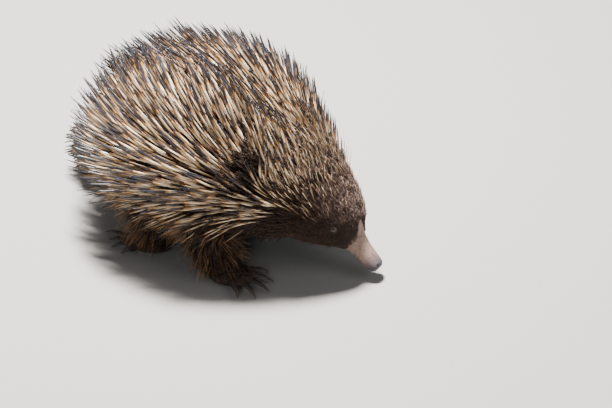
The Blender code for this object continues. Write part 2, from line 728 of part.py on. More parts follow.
def grow_locks(nodes, coat, name, chance):
    """Roots flat locks of bristles round the outer and hinder sides of a leg, hanging and fanning out."""
    grown = bpy.data.collections.new("locks")
    side = -1 if name.endswith("right") else 1
    line = [centre for centre, radius in LEGS[name]]
    tree = coat.trees[name]
    for row in range(LOCK_ROWS):
        here = Vector(along(line, LOCKS_FROM + LOCKS_OVER * row / LOCK_ROWS))
        for k in range(LOCKS_IN_ROW):
            a = LOCKS_START_AT + LOCKS_GO_ROUND * (k + 0.5 * (row % 2)) / LOCKS_IN_ROW
            out = Vector((-math.sin(a), side * math.cos(a), 0))
            place = tree.ray_cast(here, out)[0]
            if place is None:
                continue
            lean = (out * LOCK_LEAN_OUT + LOCK_HANG).normalized()
            length = LOCK_REACH * chance.uniform(1 - LENGTH_VARIES, 1 + LENGTH_VARIES)
            for try_length in (length, length * LOCK_SHORTER_TRY):
                root, tip = place - lean * SPINE_SINK * 0.6, place + lean * try_length
                if coat.clear(name, root, tip, LOCK_HALF_WIDTH * 0.6):
                    coat.add(root, tip, LOCK_HALF_WIDTH * 0.7)
                    grown_piece("lock", root, tip, Vector(), LOCK_HALF_WIDTH, 4, LOCK_FLATNESS, grown)
                    break
    join_grown(nodes[name], grown)


def cut_copy(obj, cutter):
    apply_boolean(obj, copy_of(cutter), "DIFFERENCE")
    keep_largest(obj)


def build():
    clear_scene()
    nodes = {}
    for name in ("rump", "torso", "neck"):
        nodes[name] = body_length(name, LENGTHS[name], "spines")
    nodes["head"] = build_head()
    nodes["beak"] = build_beak()
    for side, word in ((-1, "right"), (1, "left")):
        nodes["eye_" + word] = ball("eye_" + word, eye_centre(side), EYE_RADIUS, "eye", 14, 10)
        apply_boolean(nodes["neck"], ear_block("ear_cutter", side, GAP), "DIFFERENCE")
        nodes["ear_" + word] = build_ear("ear_" + word, side)
    cutter = whole_body(GAP * 1.5)
    nodes["tail"] = new_object("tail", tube(bmesh.new(), TAIL_LINE, 14, True), "spines")
    cut_copy(nodes["tail"], cutter)
    for name, line in LEGS.items():
        nodes[name] = new_object(name, tube(bmesh.new(), line, 14), "fur")
        cut_copy(nodes[name], cutter)
    bpy.data.objects.remove(cutter)
    for name in FEET:
        nodes[name] = build_paw(name)
        leg = nodes[name.replace("foot", "leg")]
        grown = copy_of(nodes[name])
        bm = bmesh.new()
        bm.from_mesh(grown.data)
        bm.normal_update()
        for vert in bm.verts:
            vert.co += vert.normal * GAP * 1.6
        bm.to_mesh(grown.data)
        bm.free()
        apply_boolean(leg, grown, "DIFFERENCE")
        keep_largest(leg)
        for k in range(len(TOE_SPREAD["fore"])):
            claw = build_claw(name, k)
            nodes[claw.name] = claw
    chance = random.Random(SEED)
    coat = Coat(nodes)
    for name in SPINES:
        grow_spines(nodes, coat, name, chance)
    grow_tail_spines(nodes, coat, chance)
    for name in LEGS:
        grow_locks(nodes, coat, name, chance)
    for obj in nodes.values():
        obj.data.transform(Matrix.Translation(TO_ORIGIN))
        for polygon in obj.data.polygons:
            polygon.use_smooth = True
        obj.data.set_sharp_from_angle(angle=math.radians(50))
    return nodes


build()
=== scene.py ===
"""A short-beaked echidna in mid-stride: its hide, spines, fur, beak, eyes, ears, feet and claws."""
import math

import bmesh
import bpy
import numpy as np
from mathutils import Matrix, Vector
from mathutils.bvhtree import BVHTree


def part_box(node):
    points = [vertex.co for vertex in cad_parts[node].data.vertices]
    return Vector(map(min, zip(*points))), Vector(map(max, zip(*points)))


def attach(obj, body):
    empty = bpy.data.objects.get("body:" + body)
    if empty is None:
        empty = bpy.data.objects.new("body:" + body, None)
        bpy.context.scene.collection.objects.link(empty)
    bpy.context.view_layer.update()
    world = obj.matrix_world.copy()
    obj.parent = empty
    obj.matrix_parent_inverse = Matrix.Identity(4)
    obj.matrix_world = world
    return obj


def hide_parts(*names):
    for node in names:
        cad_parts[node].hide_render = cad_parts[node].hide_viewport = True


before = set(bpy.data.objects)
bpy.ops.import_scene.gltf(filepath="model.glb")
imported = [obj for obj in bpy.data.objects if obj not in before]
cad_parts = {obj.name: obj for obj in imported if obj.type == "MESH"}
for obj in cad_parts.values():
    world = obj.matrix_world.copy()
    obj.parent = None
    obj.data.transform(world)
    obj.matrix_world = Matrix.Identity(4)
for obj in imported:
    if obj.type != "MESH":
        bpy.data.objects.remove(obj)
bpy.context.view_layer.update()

# The hide: one skin over the whole animal, dark and coarse under the coat and bare over the long beak. It is
# a bent line of oval sections numbered by t from rump to beak, each with its centre, how far the line dips
# and turns there in degrees, its half width, its rise and its drop.
BODY = np.array([(*centre, *rest) for centre, *rest in (
    ((-0.1200, -0.0150, 0.074), 0, 0, 0.006, 0.006, 0.006),
    ((-0.1145, -0.0150, 0.075), 0, 0, 0.028, 0.025, 0.026),
    ((-0.0990, -0.0145, 0.078), 0, 0, 0.053, 0.044, 0.045),
    ((-0.0750, -0.0140, 0.085), 0, 0, 0.074, 0.057, 0.061),
    ((-0.0420, -0.0130, 0.092), 0, 0, 0.087, 0.069, 0.072),
    ((-0.0050, -0.0120, 0.095), 0, 0, 0.090, 0.075, 0.076),
    ((0.0340, -0.0110, 0.094), 1, 0, 0.084, 0.073, 0.074),
    ((0.0720, -0.0080, 0.088), 5, 1, 0.070, 0.064, 0.063),
    ((0.1020, -0.0020, 0.080), 15, 5, 0.057, 0.055, 0.049),
    ((0.1250, 0.0040, 0.0695), 27, 9, 0.0470, 0.0445, 0.037),
    ((0.1435, 0.0095, 0.0570), 36, 11, 0.0380, 0.0345, 0.0275),
    ((0.1575, 0.0125, 0.0470), 41, 12, 0.0275, 0.0245, 0.0190),
    ((0.1680, 0.0138, 0.0380), 43, 12, 0.0150, 0.0140, 0.0120),
    ((0.1765, 0.0152, 0.0300), 43, 12, 0.0116, 0.0102, 0.0094),
    ((0.1865, 0.0170, 0.0207), 43, 12, 0.0103, 0.0084, 0.0076),
    ((0.1935, 0.0185, 0.0142), 41, 12, 0.0091, 0.0070, 0.0064),
    ((0.1965, 0.0192, 0.0118), 41, 12, 0.0060, 0.0044, 0.0040),
)])
FUR_LINE, BEAK_END = 12.0, len(BODY) - 1.0
ROLL, ROLL_FADES, ROLL_ENDS = math.radians(7), 6.5, 10.0
EYE_ALONG, EYE_HEIGHT_ANGLE, EYE_RAISED = 10.38, math.radians(30), -0.0010


def ease(value, low, high):
    share = np.clip((np.asarray(value, float) - low) / (high - low), 0, 1)
    return share * share * (3 - 2 * share)


def along(values, t):
    """Values set at whole numbers of t, read between them on a smooth curve."""
    last = len(values) - 1
    t = np.clip(np.atleast_1d(np.asarray(t, float)), 0, last)
    i = np.minimum(t.astype(int), last - 1)
    s = (t - i)[:, None]
    before, here, after, beyond = (values[np.clip(i + k, 0, last)] for k in (-1, 0, 1, 2))
    leaving, arriving = (after - before) / 2, (beyond - here) / 2
    return (
        (2 * s**3 - 3 * s**2 + 1) * here + (s**3 - 2 * s**2 + s) * leaving
        + (3 * s**2 - 2 * s**3) * after + (s**3 - s**2) * arriving
    )


def body_section(t):
    """The centre of the body at each t, its forward, left and up directions, and its three sizes."""
    values = along(BODY, t)
    dip, turn = np.radians(values[:, 3]), np.radians(values[:, 4])
    roll = ROLL * (1 - ease(t, ROLL_FADES, ROLL_ENDS)) * np.ones(len(values))
    cd, sd, ct, st, cr, sr = (f(a) for a in (dip, turn, roll) for f in (np.cos, np.sin))
    forward = np.stack([ct * cd, st * cd, -sd], 1)
    left = np.stack([ct * sd * sr - st * cr, st * sd * sr + ct * cr, cd * sr], 1)
    up = np.stack([ct * sd * cr + st * sr, st * sd * cr - ct * sr, cd * cr], 1)
    return values[:, :3] + stance, forward, left, up, values[:, 5:]


def body_point(t, angle, raised=0.0):
    """The place on the hide at t and angle, which is 0 on the left and a quarter turn on the back."""
    angle = np.atleast_1d(np.asarray(angle, float))
    centre, _, left, up, sizes = body_section(t)
    half_width, rise, drop = sizes.T
    height = np.where(np.sin(angle) > 0, rise, drop)
    return (
        centre
        + left * (np.cos(angle) * (half_width + raised))[:, None]
        + up * (np.sin(angle) * (height + raised))[:, None]
    )


def eye_centre(side):
    angle = EYE_HEIGHT_ANGLE if side > 0 else math.pi - EYE_HEIGHT_ANGLE
    return Vector(body_point(EYE_ALONG, angle, EYE_RAISED)[0])


# The line is drawn near the frame's origin, and the solid right eye gives the shift that sets it in place.
stance = np.zeros(3)
solid_eye = sum((Vector(corner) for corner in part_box("eye_right")), Vector()) / 2
stance = np.array(solid_eye - eye_centre(-1))


def sewn_tube(bm, place, rings, sides):
    """A closed tube from a grid, laid by place(share along, angle round), sewn along its seam and capped."""
    verts = bmesh.ops.create_grid(bm, x_segments=rings, y_segments=sides, size=0.5)["verts"]
    share = np.array([v.co.x + 0.5 for v in verts])
    angle = np.array([(v.co.y + 0.5) * math.tau for v in verts])
    for vert, where in zip(verts, place(share, angle)):
        vert.co = where
    bmesh.ops.remove_doubles(bm, verts=verts, dist=1e-7)
    bmesh.ops.holes_fill(bm, edges=[e for e in bm.edges if e.is_boundary], sides=0)
    bmesh.ops.recalc_face_normals(bm, faces=bm.faces)
    return bm


def new_piece(name, bm):
    mesh = bpy.data.meshes.new(name)
    bm.to_mesh(mesh)
    bm.free()
    mesh.polygons.foreach_set("use_smooth", [True] * len(mesh.polygons))
    piece = bpy.data.objects.new(name, mesh)
    bpy.context.scene.collection.objects.link(piece)
    return piece


HIDE_RINGS, HIDE_SIDES = 260, 80
TRUNK_SHARE, TRUNK_END = 0.45, 9.0
MOUTH_HEIGHT, MOUTH_FROM, MOUTH_TO, MOUTH_WIDTH, MOUTH_DEPTH = -0.36, 14.3, 15.2, 0.10, 0.0007
NOSTRIL_ALONG, NOSTRIL_ANGLES = 15.12, np.radians((62, 118))
NOSTRIL_LENGTH, NOSTRIL_WIDTH, NOSTRIL_DEPTH = 0.13, 0.17, 0.0013
BULB_ALONG, BULB_LENGTH, BULB_RAISED = 15.2, 0.5, 0.0003
BROW_ALONG, BROW_OFF_TOP, BROW_LENGTH, BROW_WIDTH, BROW_RAISED = 10.4, 0.75, 0.35, 0.10, 0.0012


def hide_place(share, angle):
    """The body's hide with the relief of the head: brows, line of the mouth, nostrils and the beak's bulb."""
    past_trunk = (share - TRUNK_SHARE) / (1 - TRUNK_SHARE)
    on_trunk, on_head = share / TRUNK_SHARE * TRUNK_END, TRUNK_END + past_trunk * (BEAK_END - TRUNK_END)
    t = np.where(past_trunk < 0, on_trunk, on_head)
    mouth = np.exp(-(((np.sin(angle) - MOUTH_HEIGHT) / MOUTH_WIDTH) ** 2)) * ease(t, MOUTH_FROM, MOUTH_TO)
    off_nostril = np.min([np.abs(angle - at) for at in NOSTRIL_ANGLES], axis=0)
    nostril = np.exp(-((off_nostril / NOSTRIL_WIDTH) ** 2) - ((t - NOSTRIL_ALONG) / NOSTRIL_LENGTH) ** 2)
    bulb = np.exp(-(((t - BULB_ALONG) / BULB_LENGTH) ** 2))
    off_brow = np.abs(angle - math.pi / 2) - BROW_OFF_TOP
    brow = np.exp(-((t - BROW_ALONG) ** 2) / BROW_LENGTH) * np.exp(-(off_brow**2) / BROW_WIDTH)
    raised = -MOUTH_DEPTH * mouth - NOSTRIL_DEPTH * nostril + BULB_RAISED * bulb + BROW_RAISED * brow
    return body_point(t, angle, raised)


body_skin = new_piece("body_skin", sewn_tube(bmesh.new(), hide_place, HIDE_RINGS, HIDE_SIDES))

# Legs and feet: short stout limbs of the same hide, flat grey soles and five blunt toes to a foot. The hind
# feet turn out and back. Each leg is a line of centres and radii, each foot a sole's centre, the heading of
# its toes in degrees, and its half length, half width and height.
LEGS = {
    "foreleg_right": (
        ((0.056, -0.050, 0.070), 0.030), ((0.047, -0.074, 0.046), 0.024), ((0.060, -0.077, 0.024), 0.0185),
        ((0.068, -0.077, 0.013), 0.0165),
    ),
    "foreleg_left": (
        ((0.052, 0.030, 0.070), 0.030), ((0.044, 0.056, 0.046), 0.024), ((0.058, 0.062, 0.024), 0.0185),
        ((0.066, 0.062, 0.013), 0.0165),
    ),
    "hindleg_right": (
        ((-0.046, -0.054, 0.066), 0.034), ((-0.025, -0.077, 0.046), 0.026), ((-0.015, -0.085, 0.024), 0.0185),
        ((-0.014, -0.085, 0.013), 0.0165),
    ),
    "hindleg_left": (
        ((-0.080, 0.034, 0.066), 0.034), ((-0.077, 0.062, 0.046), 0.026), ((-0.083, 0.072, 0.024), 0.0185),
        ((-0.084, 0.073, 0.013), 0.0165),
    ),
}
FEET = {
    "forefoot_right": ((0.078, -0.078), 6, 0.0230, 0.0190, 0.0165),
    "forefoot_left": ((0.076, 0.064), 8, 0.0230, 0.0190, 0.0165),
    "hindfoot_right": ((-0.016, -0.088), -146, 0.0220, 0.0165, 0.0160),
    "hindfoot_left": ((-0.087, 0.078), 146, 0.0220, 0.0165, 0.0160),
}
TAIL = (
    ((-0.096, -0.016, 0.064), 0.028), ((-0.124, -0.020, 0.050), 0.023), ((-0.145, -0.022, 0.038), 0.016),
    ((-0.158, -0.023, 0.031), 0.008),
)
TOE_SPREAD = {"fore": (-44, -22, 0, 22, 44), "hind": (-40, -18, 0, 20, 42)}
TOE_REACH, TOE_RADIUS, TOE_HEIGHT = 0.0065, 0.0046, 0.0062
TOE_BEADS = ((0.0, 1.08), (0.3, 1.10), (0.6, 1.06), (0.85, 0.92))
FOOT_INSIDE, SOLE_RISE, FOOT_ROUND = 0.0004, 0.30, 0.70
LIMB_FUR, LIMB_RINGS, LIMB_SIDES = 0.0032, 36, 32
LIMB_FRONT = (0.92, 0.05, 0.39)
WEAVE = 0.0013


def limb_point(line, share, angle):
    """The place on a limb at a share of its length and angle round it, and the ways out of and down it."""
    values = np.array([(*centre, radius) for centre, radius in line])
    t = np.clip(share, 0, 1) * (len(values) - 1)
    here = along(values, t)
    way = along(values, t + 0.05)[:, :3] - along(values, t - 0.05)[:, :3]
    way /= np.linalg.norm(way, axis=1)[:, None]
    across = np.cross(way, LIMB_FRONT)
    across /= np.linalg.norm(across, axis=1)[:, None]
    out = across * np.cos(angle)[:, None] + np.cross(way, across) * np.sin(angle)[:, None]
    return here[:, :3] + stance + out * (here[:, 3] - LIMB_FUR)[:, None], out, way


def toe_line(foot, k):
    """The root and the end of a toe and the way it points."""
    (x, y), heading, half_length, half_width, _ = FEET[foot]
    angle = math.radians(TOE_SPREAD[foot[:4]][k])
    turn = Matrix.Rotation(math.radians(heading), 3, "Z")
    out = turn @ Vector((math.cos(angle), math.sin(angle) * 0.9, -0.10)).normalized()
    on_rim = Vector((math.cos(angle) * half_length, math.sin(angle) * half_width, 0))
    rim = Vector((x, y, TOE_HEIGHT)) + turn @ on_rim
    flat = Vector((out.x, out.y, 0)).normalized()
    shift = Vector(stance)
    return rim - flat * half_width * 0.5 + shift, rim + flat * TOE_REACH + shift, out


def ball(bm, centre, sizes, turn=Matrix.Identity(3), segments=20):
    made = bmesh.ops.create_uvsphere(bm, u_segments=segments, v_segments=segments // 2, radius=1.0)["verts"]
    size = Matrix.Diagonal((*sizes, 1))
    bmesh.ops.transform(bm, matrix=Matrix.Translation(centre) @ turn.to_4x4() @ size, verts=made)
    return made


limbs = bmesh.new()
for line in (*LEGS.values(), TAIL):
    def limb_place(share, angle, line=line):
        return limb_point(line, share, angle)[0]

    sewn_tube(limbs, limb_place, LIMB_RINGS, LIMB_SIDES)
for name, ((x, y), heading, half_length, half_width, height) in FEET.items():
    turn = Matrix.Rotation(math.radians(heading), 3, "Z")
    sole = Vector((x, y, height * SOLE_RISE)) + Vector(stance)
    ball(limbs, sole, (half_length - FOOT_INSIDE, half_width - FOOT_INSIDE, height * FOOT_ROUND), turn)
    for k in range(5):
        root, end, _ = toe_line(name, k)
        for share, wide in TOE_BEADS:
            ball(limbs, root.lerp(end, share), (TOE_RADIUS * wide,) * 3, segments=12)
limb_skin = new_piece("limb_skin", limbs)
woven = limb_skin.modifiers.new("woven", "REMESH")
woven.mode = "VOXEL"
woven.voxel_size = WEAVE
eased = limb_skin.modifiers.new("eased", "SMOOTH")
eased.factor = 0.5
eased.iterations = 5


def settled(piece):
    """The piece's mesh with its modifiers applied."""
    bpy.context.view_layer.update()
    mesh = bpy.data.meshes.new_from_object(piece.evaluated_get(bpy.context.evaluated_depsgraph_get()))
    piece.modifiers.clear()
    piece.data = mesh
    return piece


def skin_tree(piece):
    mesh = piece.data
    return BVHTree.FromPolygons([v.co for v in mesh.vertices], [p.vertices for p in mesh.polygons])


settled(limb_skin)
body_tree, limb_tree = skin_tree(body_skin), skin_tree(limb_skin)
joined = body_skin.modifiers.new("joined", "BOOLEAN")
joined.operation, joined.solver, joined.object = "UNION", "MANIFOLD", limb_skin
hide = settled(body_skin)
hide.name = "hide"
bpy.data.objects.remove(limb_skin)
hide.data.polygons.foreach_set("use_smooth", [True] * len(hide.data.polygons))
SOLE_LOW = 0.0001
places = np.array([tuple(v.co) for v in hide.data.vertices])
places[:, 2] = np.maximum(places[:, 2], SOLE_LOW)
hide.data.vertices.foreach_set("co", places.ravel())

# Marks on the hide: where it is bare, which runs up the brow in a narrow tongue, how far it darkens towards
# the beak's tip, the soles, and the painted shade inside the nostrils.
TONGUE_LENGTH, TONGUE_HALF_WIDTH, BARE_BEFORE, BARE_SOFT, BEAK_AROUND = 0.013, 0.0052, 0.002, 0.002, 0.03
TIP_FROM, TIP_TO, SOLE_FROM, SOLE_TO = 0.018, 0.036, 0.0006, 0.0030
line_end, line_forward, line_left, line_up, _ = (v[0] for v in body_section(FUR_LINE))
from_line = places - line_end
before_line = from_line @ line_forward
on_beak = np.linalg.norm(from_line - before_line[:, None] * line_forward, axis=1) < BEAK_AROUND
on_top = from_line @ line_up > 0.004
tongue = TONGUE_LENGTH * on_top * np.exp(-((from_line @ line_left / TONGUE_HALF_WIDTH) ** 2))
bare_from = -BARE_BEFORE - tongue
bare = ease(before_line, bare_from - BARE_SOFT, bare_from + BARE_SOFT) * on_beak
tip_dark = ease(before_line, TIP_FROM, TIP_TO) * on_beak
sole_share = 1 - ease(places[:, 2], SOLE_FROM, SOLE_TO)
nostrils = body_point(np.full(2, NOSTRIL_ALONG), NOSTRIL_ANGLES, -0.0006)
nostril_gap = np.min([np.linalg.norm(places - spot, axis=1) for spot in nostrils], axis=0)
nostril_shade = 1 - ease(nostril_gap, 0.0007, 0.0016)
for name, values in (("bare", bare), ("tip_dark", tip_dark), ("sole", sole_share), ("nostril", nostril_shade)):
    hide.data.attributes.new(name, "FLOAT", "POINT").data.foreach_set("value", values)


def node(tree, kind, **settings):
    made = tree.nodes.new(kind)
    for key, value in settings.items():
        setattr(made, key, value)
    return made


def join(tree, source, target):
    tree.links.new(source, target)


def feed(tree, value, target):
    """Joins an output to a socket, or sets a plain value on it."""
    if isinstance(value, bpy.types.NodeSocket):
        join(tree, value, target)
    else:
        target.default_value = value


def noise(tree, scale, detail=2.0):
    """Noise of this scale on the piece's own place."""
    texture = node(tree, "ShaderNodeTexNoise")
    texture.inputs["Scale"].default_value = scale
    texture.inputs["Detail"].default_value = detail
    join(tree, node(tree, "ShaderNodeTexCoord").outputs["Object"], texture.inputs["Vector"])
    return texture.outputs["Fac"]


def mark(tree, name):
    """The factor of a mark kept on the piece's own mesh."""
    return node(tree, "ShaderNodeAttribute", attribute_name=name).outputs["Fac"]


def blended(tree, factor, first, second, mode="MIX"):
    """A colour mixed from two others, each a colour or an output."""
    mix = node(tree, "ShaderNodeMix", data_type="RGBA", blend_type=mode)
    for key, value in (("Factor", factor), ("A", first), ("B", second)):
        feed(tree, value, mix.inputs[key])
    return mix.outputs["Result"]


def sum_of(tree, operation, first, second, clamp=False):
    """One step of arithmetic on two factors, each a number or an output."""
    made = node(tree, "ShaderNodeMath", operation=operation, use_clamp=clamp)
    for target, value in zip(made.inputs, (first, second)):
        feed(tree, value, target)
    return made.outputs[0]


def finish_named(name, roughness=0.5, **sockets):
    """A new material and its shader, with the values that are the same all over it set on the shader."""
    material = bpy.data.materials.new(name)
    material.use_nodes = True
    shader = material.node_tree.nodes["Principled BSDF"]
    shader.inputs["Roughness"].default_value = roughness
    for key, value in sockets.items():
        shader.inputs[key.replace("_", " ")].default_value = value
    return material, material.node_tree, shader


def leather_group():
    """Creased, pebbled skin: a height for bump and a mask of its creases."""
    group = bpy.data.node_groups.new("creased_skin", "ShaderNodeTree")
    for way, names in (("INPUT", ("Pebble Size", "Crease Size")), ("OUTPUT", ("Height", "Crease"))):
        for name in names:
            group.interface.new_socket(name, in_out=way, socket_type="NodeSocketFloat")
    enter, leave = node(group, "NodeGroupInput"), node(group, "NodeGroupOutput")
    where = node(group, "ShaderNodeTexCoord").outputs["Object"]
    pebble = node(group, "ShaderNodeTexVoronoi", feature="SMOOTH_F1")
    crease = node(group, "ShaderNodeTexVoronoi", feature="DISTANCE_TO_EDGE")
    wander = node(group, "ShaderNodeTexNoise")
    wander.inputs["Scale"].default_value = 90
    for texture, size in ((pebble, "Pebble Size"), (crease, "Crease Size")):
        join(group, enter.outputs[size], texture.inputs["Scale"])
    join(group, where, wander.inputs["Vector"])
    moved = node(group, "ShaderNodeMix", data_type="VECTOR")
    moved.inputs["Factor"].default_value = 0.012
    join(group, where, moved.inputs["A"])
    join(group, wander.outputs["Color"], moved.inputs["B"])
    join(group, moved.outputs["Result"], pebble.inputs["Vector"])
    join(group, moved.outputs["Result"], crease.inputs["Vector"])
    creased = node(group, "ShaderNodeMapRange", interpolation_type="SMOOTHSTEP")
    creased.inputs["From Max"].default_value = 0.16
    join(group, crease.outputs["Distance"], creased.inputs["Value"])
    pebbled = sum_of(group, "MULTIPLY", pebble.outputs["Distance"], 0.35)
    join(group, sum_of(group, "ADD", pebbled, creased.outputs["Result"]), leave.inputs["Height"])
    join(group, sum_of(group, "SUBTRACT", 1.0, creased.outputs["Result"]), leave.inputs["Crease"])
    return group


creased_skin = leather_group()


def creased(tree, pebble_size, crease_size, shader, depth):
    """The creased skin set to a material's own sizes, with its bump joined to the shader."""
    group = node(tree, "ShaderNodeGroup", node_tree=creased_skin)
    group.inputs["Pebble Size"].default_value = pebble_size
    group.inputs["Crease Size"].default_value = crease_size
    bump = node(tree, "ShaderNodeBump")
    bump.inputs["Distance"].default_value = depth
    bump.inputs["Strength"].default_value = 0.8
    join(tree, group.outputs["Height"], bump.inputs["Height"])
    join(tree, bump.outputs["Normal"], shader.inputs["Normal"])
    return group


hide_finish, tree, shader = finish_named("hide", 0.62, Specular_IOR_Level=0.35)
skin = creased(tree, 3200, 1250, shader, 0.00016)
blotch = noise(tree, 55)
furred = blended(tree, blotch, (0.018, 0.010, 0.007, 1), (0.045, 0.026, 0.018, 1))
pink = blended(tree, blotch, (0.236, 0.152, 0.118, 1), (0.350, 0.237, 0.192, 1))
speckled = node(tree, "ShaderNodeMapRange", interpolation_type="SMOOTHSTEP")
speckled.inputs["From Min"].default_value = 0.48
speckled.inputs["From Max"].default_value = 0.66
join(tree, noise(tree, 330, 5), speckled.inputs["Value"])
grime = sum_of(tree, "MULTIPLY", speckled.outputs["Result"], 0.62)
beak = blended(tree, grime, pink, (0.115, 0.068, 0.050, 1))
beak_tip = blended(tree, mark(tree, "tip_dark"), beak, (0.060, 0.054, 0.070, 1))
# Painted shade: the beak's skin is darker in its creases.
crease = sum_of(tree, "MULTIPLY", skin.outputs["Crease"], 0.30)
crease_shaded_beak = blended(tree, crease, beak_tip, (0.075, 0.045, 0.037, 1))
coloured = blended(tree, mark(tree, "bare"), furred, crease_shaded_beak)
soled = blended(tree, mark(tree, "sole"), coloured, (0.16, 0.125, 0.115, 1))
# Painted shade: near black inside the nostrils.
shaded_nostrils = blended(tree, mark(tree, "nostril"), soled, (0.012, 0.008, 0.008, 1))
join(tree, shaded_nostrils, shader.inputs["Base Color"])
hide.data.materials.clear()
hide.data.materials.append(hide_finish)
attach(hide, "root")
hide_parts("rump", "torso", "neck", "head", "beak", "tail", *LEGS, *FEET)

# The spines: hairs of stiff horn, up to 6 cm long and thickest halfway up, rooted in the hide. They are cream
# with an orange-brown band and a blue-black point. They lean back and up towards the line of the back, and
# grow thinner and shorter over the neck until they are the bristles of the crown.
FUR_BACK, FUR_BELLY, FUR_FACE = 0.013, 0.006, 0.0015
FACE_FROM, FACE_TO = 6.5, 11.0
SPINE_REACH, SPINE_RADIUS, SPINE_SPACING = 0.0490, 0.00130, 0.0080
SPINE_PROFILE = (
    (0.0, 0.70), (0.14, 0.85), (0.28, 0.96), (0.46, 1.0), (0.66, 0.92), (0.83, 0.70), (0.94, 0.38),
)
LOWEST_SPINE = math.radians(-36)
LEAN_BACK, LEAN_OUT, LEAN_UP, RUFFLE, STRAY = 0.82, 0.43, 0.50, 0.050, 0.060
UPRIGHT_TO, REAR_TO, CROWN_FROM, NECK_FROM = (3.4, 5.2), (0.5, 3.0), (6.4, 8.6), (6.6, 9.2)
UPRIGHT_BACK, UPRIGHT_OUT, REAR_BACK, REAR_OUT, CROWN_OUT = -0.38, 0.34, -0.5, 0.20, -0.17
BESIDE_EAR, BESIDE_BACK, BESIDE_OUT, BESIDE_UP = 0.020, -0.40, -0.06, 0.35
EDGE_RISE, EDGE_RISES = math.radians(66), (7.2, 9.2)
SKIRT_ZONE, SKIRT_FEWER, CROWN_ZONE, CROWN_FEWER = (-0.12, 0.42), 0.42, (8.3, 9.2), 0.55
# The skirt and rear factors paint shade onto the spines. Spines on the lower flank, which faces down, and
# over the rump are darker and so more amber.
SKIRT_PAINTED_SHADE, REAR_PAINTED_SHADE, REAR_SHADE_TO, NECK_DARKER = 0.85, 0.76, (1.2, 3.8), 0.22
NECK_SHORTER, NECK_SLIMMER, SKIRT_SLIMMER = 0.44, 0.74, 0.52
RUMP_TO, BACK_TO, SPINES_TO = 3.6, 6.0, 9.3
EAR_ALONG, EAR_ANGLES = 7.45, {"left": math.radians(40), "right": math.pi - math.radians(40)}
EAR_CLEAR, EAR_CLEAR_SHARE, EAR_PARTING = 0.0075, {"left": 0.2, "right": 1.0}, 0.016
BODY_CHART_LOW, BODY_CHART_HEIGHT, PATCH = 0.30, 0.70, 0.003
ROW_GAP, ROW_STRAY, ROOT_STRAY = 0.87, 0.45, 0.42


def fur_depth(t, angle):
    """How deep the close underfur is: full on the back, thin under the belly, least on the face."""
    trunk = FUR_BELLY + (FUR_BACK - FUR_BELLY) * ease(np.sin(angle), -0.85, -0.25)
    share = ease(t, FACE_FROM, FACE_TO)
    return trunk * (1 - share) + FUR_FACE * share


def hide_ways(t, angle, depth_share=1.0):
    """The place in the underfur over t and angle, and the ways out, back and up to the line of the back."""
    def place(t, angle):
        return body_point(t, angle, fur_depth(t, angle) * depth_share)

    step = 0.02
    back = place(t - step, angle) - place(t + step, angle)
    up = place(t, angle + step) - place(t, angle - step)
    back /= np.linalg.norm(back, axis=1)[:, None]
    up /= np.linalg.norm(up, axis=1)[:, None]
    out = np.cross(back, up)
    right = (angle > math.pi / 2) & (angle < math.pi * 1.5)
    up[right] *= -1
    return place(t, angle), out, back, up


def coat_places(start, end, low, high, spacing, seed):
    """Roots an even way apart over a stretch of the hide, in rows across it, each moved a bit by chance."""
    chance = np.random.default_rng(seed)
    found_t, found_angle, t, number = [], [], start, 0
    while t < end:
        gap = spacing(t)
        half_width, rise, _ = body_section(t)[4][0]
        depth = fur_depth(t, math.pi / 2)
        count = max(3, round((high - low) * ((half_width + rise) / 2 + depth) / gap))
        three = np.radians([20, 90, 160])
        here, beyond = (body_point(np.full(3, at), three, depth) for at in (t, t + 0.05))
        speed = np.linalg.norm(beyond - here, axis=1).mean() / 0.05
        step = ROW_GAP * gap / speed
        shift = 0.5 * (number % 2) + chance.uniform(-ROOT_STRAY, ROOT_STRAY, count)
        found_angle.append(low + (high - low) * (np.arange(count) + 0.25 + shift) / count)
        found_t.append(t + step * chance.uniform(-ROW_STRAY, ROW_STRAY, count))
        t += step
        number += 1
    return np.maximum(np.concatenate(found_t), 0.05), np.concatenate(found_angle)


def unit(ways):
    return ways / np.linalg.norm(ways, axis=1)[:, None]


def ruffled(t, angle, amount):
    """A slow wandering of the lie in waves that never line up, so that neighbours lean in loose clumps."""
    return amount * np.stack([
        np.sin(9.1 * t + 5.3 * angle) + 0.6 * np.sin(17.7 * angle - 6.1 * t),
        np.sin(7.3 * t - 8.9 * angle + 1.7) + 0.6 * np.sin(13.9 * angle + 10.3 * t),
        np.sin(11.9 * angle + 4.1 * t + 0.6) + 0.6 * np.sin(15.1 * t - 3.7 * angle),
    ], 1)


